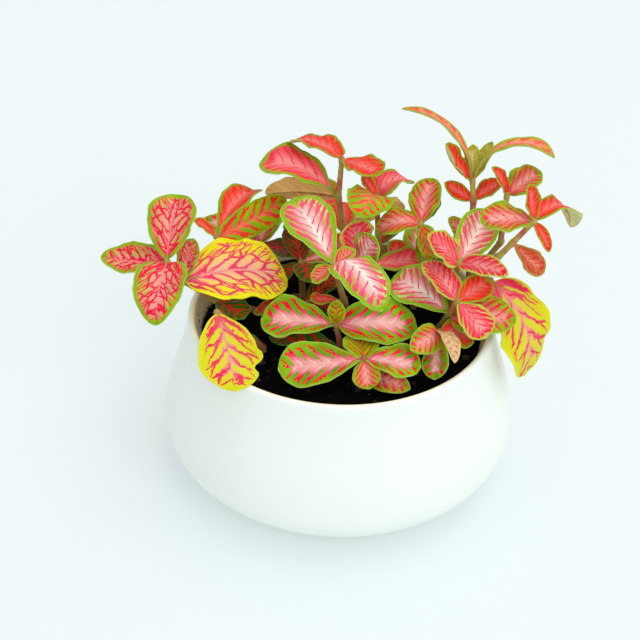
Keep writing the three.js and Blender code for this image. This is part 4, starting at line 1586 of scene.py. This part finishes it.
LEAFY_STEMS = (
    LeafyStem("front", ((1, -22, STEM_START), (-2, -20, 83)), (
        Leaf(1, 171, -4, 29, 24, -15, 10, 15, 0.65, Look.GREEN),
        Leaf(1, 6, -5, 31, 24, 25, 30, 15, 0.5, Look.GREEN),
        Leaf(1, 82, 85, 10, 8, 0, 20, 15, 0.5, Look.YOUNG),
        Leaf(0, 162, 0, 30, 16, 0, 20, 10, 0.5, Look.SHADE),
    )),
    LeafyStem("front_low", ((9, -35, STEM_START), (10, -37, 78)), (
        Leaf(1, 188, -5, 32, 22, -31, -5, 15, 0.65, Look.GREEN),
        Leaf(1, 100, 6, 13, 16, 5, 5, 10, 0.4, Look.YOUNG),
        Leaf(1, 284, -34, 11, 13, 15, 15, 20, 0.55, Look.PINK),
        Leaf(1, 351, -4, 21, 18, 16, 20, 15, 0.6, Look.GREEN),
        Leaf(0, 328, 6, 22, 11, 40, 30, 15, 0.5, Look.PINK),
    )),
    LeafyStem("centre", ((4, -3, STEM_START), (1, -4, 85), (-4, -8, 106)), (
        Leaf(2, 123, 23, 33, 24, -5, 20, 10, 0.65, Look.PALE),
        Leaf(2, 200, -38, 9, 9, -15, 15, 15, 0.45, Look.FRESH),
        Leaf(2, 35, 19, 9, 10, 0, 10, 20, 0.4, Look.FRESH),
        Leaf(2, 305, -10, 39, 21, 3, 110, -10, 0.5, Look.PALE, -0.8, 0.1),
        Leaf(1, 201, 12, 13, 9, 0, 5, 10, 0.7, Look.RED),
    )),
    LeafyStem("behind_centre", ((10, 12, STEM_START), (7, 8, 96)), (
        Leaf(1, 126, 78, 18, 18, 0, -10, 10, 0.65, Look.CORAL),
        Leaf(1, 340, 66, 15, 15, 65, 10, 10, 0.6, Look.PALE),
        Leaf(1, 14, 3, 25, 16, 5, -20, 10, 0.75, Look.BLUSH),
    )),
    LeafyStem("back_right", ((33, 20, STEM_START), (33, 21, 84), (34, 20, 111)), (
        Leaf(1, 164, 44, 16, 13, -20, 15, 10, 0.5, Look.RED),
        Leaf(1, 20, 5, 15, 10, 0, 20, 10, 0.5, Look.SHADE),
        Leaf(2, 71, 43, 18, 16, -12, 25, 15, 0.5, Look.PINK),
        Leaf(2, 180, -23, 19, 16, -11, 80, 10, 0.45, Look.PINK),
        Leaf(2, 60, 20, 13, 9, 0, 10, 20, 0.5, Look.SHADE),
        Leaf(2, 289, -46, 14, 10, 0, 10, 30, 0.5, Look.OLIVE),
    )),
    LeafyStem("back", ((17, 26, STEM_START), (16, 28, 94), (14, 30, 118)), (
        Leaf(1, 65, 10, 17, 12, 0, 20, 10, 0.5, Look.SHADE),
        Leaf(1, 205, -5, 9, 9, 0, 20, 10, 0.5, Look.RED),
        Leaf(2, 253, 4, 24, 21, -9, 70, 10, 0.5, Look.OLIVE),
        Leaf(2, 30, -2, 18, 20, -10, 100, 10, 0.3, Look.BLUSH),
        Leaf(2, 140, 40, 9, 7, 0, 10, 10, 0.5, Look.RED),
        Leaf(2, 5, -36, 12, 11, -60, 10, 10, 0.5, Look.UNDER),
    )),
    LeafyStem("back_tall", ((2, 36, STEM_START), (0, 37, 94), (-3, 38, 113), (-2, 42, 130)), (
        Leaf(1, 95, 5, 20, 13, 0, 20, 10, 0.5, Look.RED),
        Leaf(1, 262, 0, 14, 11, 0, 20, 10, 0.5, Look.RED),
        Leaf(2, 163, 13, 36, 25, -5, 60, 10, 0.7, Look.BLUSH),
        Leaf(3, 144, -9, 28, 19, 11, 55, 10, 0.4, Look.RED),
        Leaf(2, 163, -11, 32, 16, 67, 25, 10, 0.55, Look.UNDER),
        Leaf(3, 316, 3, 20, 18, 0, 15, 10, 0.6, Look.RED),
    )),
    LeafyStem("left_back", ((-36, 24, STEM_START), (-57, 19.5, 101)), (
        Leaf(1, 64, 7, 32, 18, -5, 55, 20, 0.7, Look.RED),
        Leaf(1, 170, 35, 10, 8, 0, 10, 20, 0.5, Look.RED),
        Leaf(1, 45, 4, 37, 15, 58, 35, 5, 0.45, Look.OLIVE),
    )),
    LeafyStem("left", ((-23, 4, STEM_START), (-56, 0, 80), (-70, 0, 90), (-77, 0, 100)), (
        Leaf(3, 79, 42, 27, 23, -3, 45, 15, 0.6, Look.NETTED),
        Leaf(3, 160, -9, 30, 18, -27, -30, 25, 0.4, Look.NETTED),
        Leaf(3, 266, -29, 29, 24, 7, 50, 10, 0.3, Look.NETTED),
        Leaf(2, 68, 55, 16, 12, -10, 15, 10, 0.55, Look.NETTED),
        Leaf(2, 16, -10, 44, 36, 17, 60, 5, 0.5, Look.YELLOW),
        Leaf(1, 315, 0, 16, 15, 0, 10, 10, 0.6, Look.SHADE),
    )),
    LeafyStem("right", ((46, 0, STEM_START), (50, -4, 106)), (
        Leaf(1, 63, 21, 27, 18, 25, 15, 10, 0.55, Look.PALE),
        Leaf(1, 171, 40, 16, 18, -10, 15, 10, 0.35, Look.CORAL),
        Leaf(1, 333, 2, 20, 12, 17, 35, 15, 0.4, Look.CORAL),
    )),
    LeafyStem("right_edge", ((54, -4, STEM_START), (65, 1, 94.5)), (
        Leaf(1, 321, -67, 47, 33, 0, 90, 0, 0.4, Look.SPARSE),
    )),
    LeafyStem("right_front", ((41, -5, STEM_START), (47, -16, 88), (49, -20, 97)), (
        Leaf(2, 127, 18, 21, 16, 7, 30, 10, 0.45, Look.CORAL),
        Leaf(2, 39, 11, 16, 13, 25, 5, 10, 0.55, Look.RED),
        Leaf(2, 317, -31, 17, 16, 13, 35, 10, 0.6, Look.CORAL),
        Leaf(1, 141, 8, 28, 21, -24, 45, 10, 0.65, Look.PALE),
        Leaf(1, 348, 2, 25, 21, 30, 25, 10, 0.35, Look.PINK),
    )),
    LeafyStem("tall", ((58, 20, STEM_START), (57, 24, 98), (57, 28, 119), (56, 30, 128)), (
        Leaf(1, 65, 10, 18, 12, 0, 20, 10, 0.5, Look.GREEN),
        Leaf(1, 185, 52, 15, 10, -30, 10, 10, 0.5, Look.PINK),
        Leaf(3, 156, 32, 44, 8, 10, 85, 10, 0.65, Look.EDGE),
        Leaf(3, 2, 12, 43, 10, 5, 130, 10, 0.8, Look.EDGE),
        Leaf(3, 203, 58, 22, 13, -32, -40, 30, 0.5, Look.RED),
        Leaf(3, 95, 66, 13, 8, 0, -10, 20, 0.5, Look.BUD),
        Leaf(3, 35, 60, 16, 8, 0, -10, 20, 0.5, Look.BUD),
        Leaf(2, 180, 34, 13, 8, -50, -30, 20, 0.45, Look.RED),
        Leaf(2, 20, 28, 12, 10, 15, 20, 20, 0.5, Look.RED),
    )),
    LeafyStem("far_right", ((52, 4, STEM_START), (67, 2, 106), (73, 2, 114), (81, 2, 125)), (
        Leaf(3, 136, 75, 14, 10, 0, -10, 20, 0.5, Look.RED),
        Leaf(3, 38, -34, 29, 15, -3, 125, 10, 0.5, Look.RED),
        Leaf(3, 317, -52, 12, 6, 15, 40, 20, 0.4, Look.RED),
        Leaf(3, 186, 0, 20, 19, -10, 25, 10, 0.55, Look.PINK),
        Leaf(2, 352, -42, 17, 12, 30, -15, 10, 0.65, Look.DRY),
    )),
    LeafyStem("far_back", ((54, 28, STEM_START), (70, 21, 102), (71, 23, 125)), (
        Leaf(2, 178, 59, 13, 9, -20, 20, 20, 0.4, Look.RED),
        Leaf(2, 21, 30, 15, 18, 5, 15, 10, 0.5, Look.PINK),
    )),
    LeafyStem("right_low", ((40, -21, STEM_START), (42, -24, 84)), (
        Leaf(1, 229, 2, 17, 13, -44, 35, 10, 0.4, Look.PINK),
        Leaf(1, 265, -37, 18, 12, 15, 5, 10, 0.6, Look.GREEN),
        Leaf(1, 282, 0, 23, 8, -15, 65, 10, 0.4, Look.WITHERED),
        Leaf(1, 5, -15, 13, 17, 15, 25, 10, 0.5, Look.RED),
    )),
    LeafyStem("left_front", ((-34, -18, STEM_START), (-53, -26, 92)), (
        Leaf(1, 287, -27, 34, 28, -7, 25, 5, 0.6, Look.SPARSE, 0.76, 0.3),
        Leaf(0, 165, 8, 14, 10, 0, 10, 10, 0.5, Look.SHADE),
    )),
    LeafyStem("inner_left", ((-18, 22, STEM_START), (-19, 22, 87)), (
        Leaf(1, 15, 5, 20, 14, 0, 20, 10, 0.5, Look.GREEN),
        Leaf(1, 205, -35, 12, 10, 0, 20, 10, 0.5, Look.DEEP),
        Leaf(1, 105, 20, 18, 13, 0, 20, 10, 0.5, Look.DEEP),
        Leaf(1, 285, 5, 17, 12, 0, 20, 10, 0.5, Look.SHADE),
    )),
    LeafyStem("inner_centre", ((-13, -1, STEM_START), (-15, 0, 80)), (
        Leaf(1, 50, 15, 19, 12, 0, 20, 10, 0.5, Look.DEEP),
        Leaf(1, 145, -20, 12, 10, 0, 20, 10, 0.5, Look.DEEP),
        Leaf(1, 190, -10, 21, 12, 0, 20, 10, 0.5, Look.RED),
        Leaf(1, 325, 5, 14, 10, 0, 20, 10, 0.5, Look.DEEP),
    )),
    LeafyStem("back_low_left", ((-36, 36, STEM_START), (-40, 40, 84)), (
        Leaf(1, 158, 10, 26, 18, 0, 30, 10, 0.5, Look.GREEN),
        Leaf(1, 75, 15, 24, 17, 0, 30, 10, 0.5, Look.GREEN),
        Leaf(1, 225, -5, 15, 12, 0, 20, 10, 0.5, Look.DEEP),
        Leaf(1, 330, 5, 20, 14, 0, 20, 10, 0.5, Look.DEEP),
    )),
    LeafyStem("back_low", ((-8, 48, STEM_START), (-8, 51, 88)), (
        Leaf(1, 100, 20, 26, 18, 0, 30, 10, 0.5, Look.RED),
        Leaf(1, 10, 10, 22, 15, 0, 30, 10, 0.5, Look.GREEN),
        Leaf(1, 195, 5, 18, 13, 0, 20, 10, 0.5, Look.GREEN),
        Leaf(1, 262, 0, 14, 11, 0, 20, 10, 0.5, Look.DEEP),
    )),
    LeafyStem("back_low_right", ((30, 36, STEM_START), (32, 42, 76)), (
        Leaf(1, 75, 12, 22, 15, 0, 30, 10, 0.5, Look.GREEN),
        Leaf(1, 310, 0, 16, 12, 0, 30, 10, 0.5, Look.GREEN),
        Leaf(1, 170, 5, 18, 13, 0, 20, 10, 0.5, Look.DEEP),
        Leaf(1, 260, 0, 14, 11, 0, 20, 10, 0.5, Look.DEEP),
    )),
    LeafyStem("back_far_right", ((46, 32, STEM_START), (50, 36, 80)), (
        Leaf(1, 50, 15, 24, 16, 0, 30, 10, 0.5, Look.GREEN),
        Leaf(1, 140, 10, 18, 13, 0, 30, 10, 0.5, Look.GREEN),
        Leaf(1, 230, 5, 15, 11, 0, 20, 10, 0.5, Look.DEEP),
    )),
)

STEM_SLOTS = {
    "centre": Slot.PALE,
    "behind_centre": Slot.PALE,
    "back_right": Slot.PINK,
    "back": Slot.PINK,
    "back_tall": Slot.PINK,
    "left_back": Slot.PINK,
    "right_front": Slot.PINK,
    "far_right": Slot.PINK,
    "far_back": Slot.PINK,
    "right_edge": Slot.YELLOW,
    "left_front": Slot.YELLOW,
}


def bezier(points: Sequence[tuple[float, float]], steps: int) -> np.ndarray:
    """A cubic curve in the plane of radius and height.

    Args:
        points: Its two ends with the two handles between them.
        steps: The steps along it.

    Returns:
        Points along it as rows.
    """
    t = np.linspace(0, 1, steps + 1)[:, None]
    a, b, c, d = (np.array(point, float) for point in points)
    return a * (1 - t) ** 3 + 3 * b * t * (1 - t) ** 2 + 3 * c * t**2 * (1 - t) + d * t**3


def wall_curve(inwards: float, foot: float, top: float, steps: int) -> np.ndarray:
    """The pot wall's side from foot to rim.

    Args:
        inwards: How far inside the outer face it runs, in millimetres.
        foot: The height that it starts at.
        top: The height that it ends at.
        steps: The steps in each of its two curves.

    Returns:
        Rows of radius and height.
    """
    belly = BELLY_RADIUS - inwards
    rim = RIM_RADIUS - inwards
    base = FOOT_RADIUS - inwards * FOOT_SHARE
    rise = top - BELLY_HEIGHT
    lower = bezier((
        (base, foot),
        (base + (belly - base) * FOOT_FLATNESS, foot),
        (belly, foot + (BELLY_HEIGHT - foot) * BELLY_FALL),
        (belly, BELLY_HEIGHT),
    ), steps)
    upper = bezier((
        (belly, BELLY_HEIGHT),
        (belly, BELLY_HEIGHT + rise * BELLY_RISE),
        (rim + (belly - rim) * NECK_LEAN, top - rise * NECK_FALL),
        (rim, top),
    ), steps)
    return np.concatenate([lower, upper[1:]])


def inner_wall(gap: float, foot: float, steps: int) -> np.ndarray:
    """The pot's inner wall from foot to rim.

    Args:
        gap: How far inside the wall's face it runs, in millimetres.
        foot: The height that it starts at.
        steps: The steps in each of its two curves.

    Returns:
        Rows of radius and height.
    """
    top = POT_HEIGHT - WALL / 2
    rows = wall_curve(WALL + gap, foot, top, steps)
    rows[:, 0] -= np.interp(rows[:, 1], (SOIL_HEIGHT, top), (INNER_LEAN, 0))
    return rows


def turned(profile: np.ndarray, sides: int, name: str) -> bpy.types.Object:
    """A closed solid turned round the upright axis.

    Args:
        profile: Rows of radius and height in millimetres, which start and end on the axis.
        sides: The steps of the turn.
        name: The piece's name.

    Returns:
        The new mesh object, in metres.
    """
    bpy.ops.mesh.primitive_circle_add(vertices=len(profile), radius=1.0)
    thing = bpy.context.view_layer.objects.active
    thing.name = name
    place_points(thing, np.stack([profile[:, 0], np.zeros(len(profile)), profile[:, 1]], 1) * MM)
    bpy.ops.object.mode_set(mode="EDIT")
    bpy.ops.mesh.select_all(action="DESELECT")
    bpy.ops.object.mode_set(mode="OBJECT")
    ends = {0, len(profile) - 1}
    for edge in thing.data.edges:
        edge.select = set(edge.vertices) == ends
    bpy.ops.object.mode_set(mode="EDIT")
    bpy.ops.mesh.select_mode(type="EDGE")
    bpy.ops.mesh.delete(type="EDGE_FACE")
    bpy.ops.mesh.select_mode(type="VERT")
    bpy.ops.mesh.select_all(action="SELECT")
    bpy.ops.mesh.spin(steps=sides, angle=2 * math.pi, center=(0, 0, 0), axis=(0, 0, 1))
    bpy.ops.mesh.select_all(action="SELECT")
    bpy.ops.mesh.remove_doubles(threshold=TINY)
    bpy.ops.mesh.normals_make_consistent(inside=False)
    bpy.ops.object.mode_set(mode="OBJECT")
    deselect()
    return thing


@dataclass(frozen=True)
class Pot:
    """The low round pot, turned on its axis."""

    sides: int = 160
    outside_steps: int = 22
    inside_steps: int = 14
    lip_steps: int = 10

    def profile(self) -> np.ndarray:
        """Rows of radius and height from the middle of the base to the middle of the floor."""
        lip = WALL / 2
        outside = wall_curve(0, 0, POT_HEIGHT - lip, self.outside_steps)
        inside = inner_wall(0, FLOOR, self.inside_steps)[::-1]
        angles = np.linspace(0, math.pi, self.lip_steps + 1)[1:-1]
        radii = RIM_RADIUS - lip + lip * np.cos(angles)
        heights = POT_HEIGHT - lip + lip * np.sin(angles)
        return np.concatenate([[(0, 0)], outside, np.stack([radii, heights], 1), inside, [(0, FLOOR)]])

    def build(self) -> None:
        """Builds and dresses the pot."""
        thing = turned(self.profile(), self.sides, "round_pot")
        smooth(thing, POT_SMOOTH)
        thing.data.materials.append(GlazeFinish().material())
        dress(thing, "pot")


@dataclass(frozen=True)
class Crumbs:
    """One kind of crumb on the soil.

    sizes are the least and greatest radius in millimetres, flat the height as a share of the radius,
    and bits how common pale bits are in its finish, from 0 to 1.
    """

    name: str
    count: int
    sizes: tuple[float, float]
    flat: float
    finish: SoilFinish
    bits: float


@dataclass(frozen=True)
class Soil:
    """The soil that fills the pot, with crumbs on it."""

    sides: int = 120
    wall_steps: int = 12
    lump: float = 1.1
    seed: int = 11
    peat_bits: float = 0.04
    crumbs: tuple[Crumbs, ...] = (
        Crumbs("peat_crumb", 900, (0.4, 1.2), 0.7, SoilFinish(), 0.06),
        Crumbs("bark_bit", 60, (0.3, 0.65), 0.5, BARK, 0.2),
    )

    def surface(self, x: float, y: float) -> float:
        """The surface's unevenness at a place, in millimetres above its level."""
        spot = Vector((x, y, SOIL_SLICE))
        return self.lump * sum(share * noise.noise(spot * scale) for scale, share in SOIL_NOISE)

    def filling(self) -> bpy.types.Object:
        """The filling itself, bevelled at its edge and uneven on top."""
        foot = FLOOR + GAP_BELOW
        wall = inner_wall(GAP, foot, self.wall_steps)
        side = wall[wall[:, 1] < SOIL_HEIGHT - SIDE_END]
        edge = np.interp(SOIL_HEIGHT, wall[self.wall_steps:, 1], wall[self.wall_steps:, 0])
        rings = [(edge, SOIL_HEIGHT - EDGE_DROP), (edge - EDGE_WIDTH, SOIL_HEIGHT)]
        radii = np.arange(edge - (EDGE_WIDTH + RING_WIDTH), 0, -RING_WIDTH)
        rings += [(radius, SOIL_HEIGHT) for radius in radii]
        profile = np.array([(0, foot), *side.tolist(), *rings, (0, SOIL_HEIGHT)])
        thing = turned(profile, self.sides, "soil_filling")
        points = points_of(thing)
        for point in points:
            if point[2] > (SOIL_HEIGHT - SURFACE_DEPTH) * MM:
                point[2] += self.surface(point[0] / MM, point[1] / MM) * MM
        place_points(thing, points)
        smooth(thing, FINE_SMOOTH)
        thing.data.materials.append(SoilFinish().material("peat", self.peat_bits))
        return thing

    def scatter(self, kind: Crumbs) -> bpy.types.Object:
        """Many small crumbs lying on the surface.

        Args:
            kind: The kind of crumb.

        Returns:
            All of them as one mesh.
        """
        chance = random.Random(self.seed + kind.count)
        bpy.ops.mesh.primitive_ico_sphere_add(subdivisions=1, radius=1.0)
        template = bpy.context.view_layer.objects.active
        points = points_of(template)
        place_points(template, points * [[chance.uniform(*CRUMB_LUMPS)] for _ in points])
        places = []
        for _ in range(kind.count):
            radius = (RIM_RADIUS - WALL - INNER_LEAN - CRUMB_MARGIN) * math.sqrt(chance.random())
            turn = chance.uniform(0, 2 * math.pi)
            x, y = radius * math.cos(turn), radius * math.sin(turn)
            size = chance.uniform(*kind.sizes) * chance.uniform(*CRUMB_SHARES)
            spot = Vector((x, y, SOIL_HEIGHT + self.surface(x, y) + size * CRUMB_LIFT)) * MM
            turns = Matrix.Rotation(chance.uniform(0, CRUMB_TURN), 4, "Z")
            turns = turns @ Matrix.Rotation(chance.uniform(0, CRUMB_TILT), 4, "X")
            width = size * chance.uniform(*CRUMB_WIDTHS)
            scale = Matrix.Diagonal((size * MM, width * MM, size * kind.flat * MM, 1.0))
            places.append(Matrix.Translation(spot) @ turns @ scale)
        made = repeated(template, places, kind.name)
        made.data.materials.append(kind.finish.material(kind.name, kind.bits))
        return made

    def build(self) -> None:
        """Builds and dresses the soil."""
        heaps = [self.scatter(kind) for kind in self.crumbs]
        piece = join([self.filling(), *heaps], "soil_and_crumbs")
        dress(piece, "soil")


@dataclass(frozen=True)
class Lamp:
    """A soft square lamp that looks at the plant.

    Its place and the length of its sides are in metres, and its power is in watts.
    """

    name: str
    place: tuple[float, float, float]
    size: float
    power: float
    colour: tuple[float, float, float]

    def build(self) -> None:
        """Sets up the lamp."""
        bpy.ops.object.light_add(type="AREA", location=self.place)
        made = bpy.context.view_layer.objects.active
        made.name = self.name
        made.data.size = self.size
        made.data.energy = self.power
        made.data.color = self.colour
        aim = Vector(LAMP_AIM) - Vector(self.place)
        made.rotation_euler = aim.to_track_quat("-Z", "Y").to_euler()
        deselect()


@dataclass(frozen=True)
class Studio:
    """The floor, the light and the camera."""

    eye: tuple[float, float, float] = (0.0, -0.5576, 0.4682)
    target: tuple[float, float, float] = (-0.0095, 0.0, 0.0712)
    roll: float = 1.25
    lens: float = 85.96
    floor_size: float = 8.0
    sky: tuple[float, float, float, float] = (0.97, 0.985, 1.0, 1.0)
    sky_strength: float = 0.76
    lamps: tuple[Lamp, ...] = (
        Lamp("key_lamp", (0.9, 0.5, 3.3), 3.0, 37.0, (1.0, 0.99, 0.97)),
        Lamp("front_lamp", (1.5, -2.6, 2.3), 2.6, 42.0, (1.0, 1.0, 1.0)),
    )

    def camera(self) -> None:
        """Sets the camera at the photograph's angle."""
        eye = Vector(self.eye)
        back = (eye - Vector(self.target)).normalized()
        level = Vector((0, 0, 1)).cross(back).normalized()
        rise = back.cross(level)
        turn = math.radians(self.roll)
        right = level * math.cos(turn) + rise * math.sin(turn)
        up = rise * math.cos(turn) - level * math.sin(turn)
        bpy.ops.object.camera_add(location=eye)
        made = bpy.context.view_layer.objects.active
        made.name = "photo_camera"
        made.matrix_world = Matrix.Translation(eye) @ Matrix((right, up, back)).transposed().to_4x4()
        made.data.lens = self.lens
        made.data.sensor_width = FILM_WIDTH
        bpy.context.scene.camera = made
        deselect()

    def floor(self) -> None:
        """A plain pale floor."""
        bpy.ops.mesh.primitive_plane_add(size=self.floor_size, location=(0, 0, 0))
        made = bpy.context.view_layer.objects.active
        made.name = "floor"
        made.data.materials.append(FloorFinish().material())
        deselect()

    def build(self) -> None:
        """Sets up the camera, the floor, the lamps and the sky."""
        self.camera()
        self.floor()
        for lamp in self.lamps:
            lamp.build()
        world = bpy.data.worlds.new("studio")
        bpy.context.scene.world = world
        world.use_nodes = True
        background = world.node_tree.nodes["Background"]
        background.inputs["Color"].default_value = self.sky
        background.inputs["Strength"].default_value = self.sky_strength
        bpy.context.scene.view_settings.view_transform = "Standard"


def main() -> None:
    """Builds the studio, the pot, the soil and all leafy stems."""
    logging.basicConfig(level=logging.INFO, format="%(name)s %(message)s")
    deselect()
    Studio().build()
    Pot().build()
    Soil().build()
    foliage = Foliage()
    first = 0
    for stem in LEAFY_STEMS:
        stem.build(foliage, STEM_SLOTS.get(stem.name, Slot.GREEN), first)
        first += len(stem.leaves)
    foliage.clear()


if __name__ == "__main__":
    main()
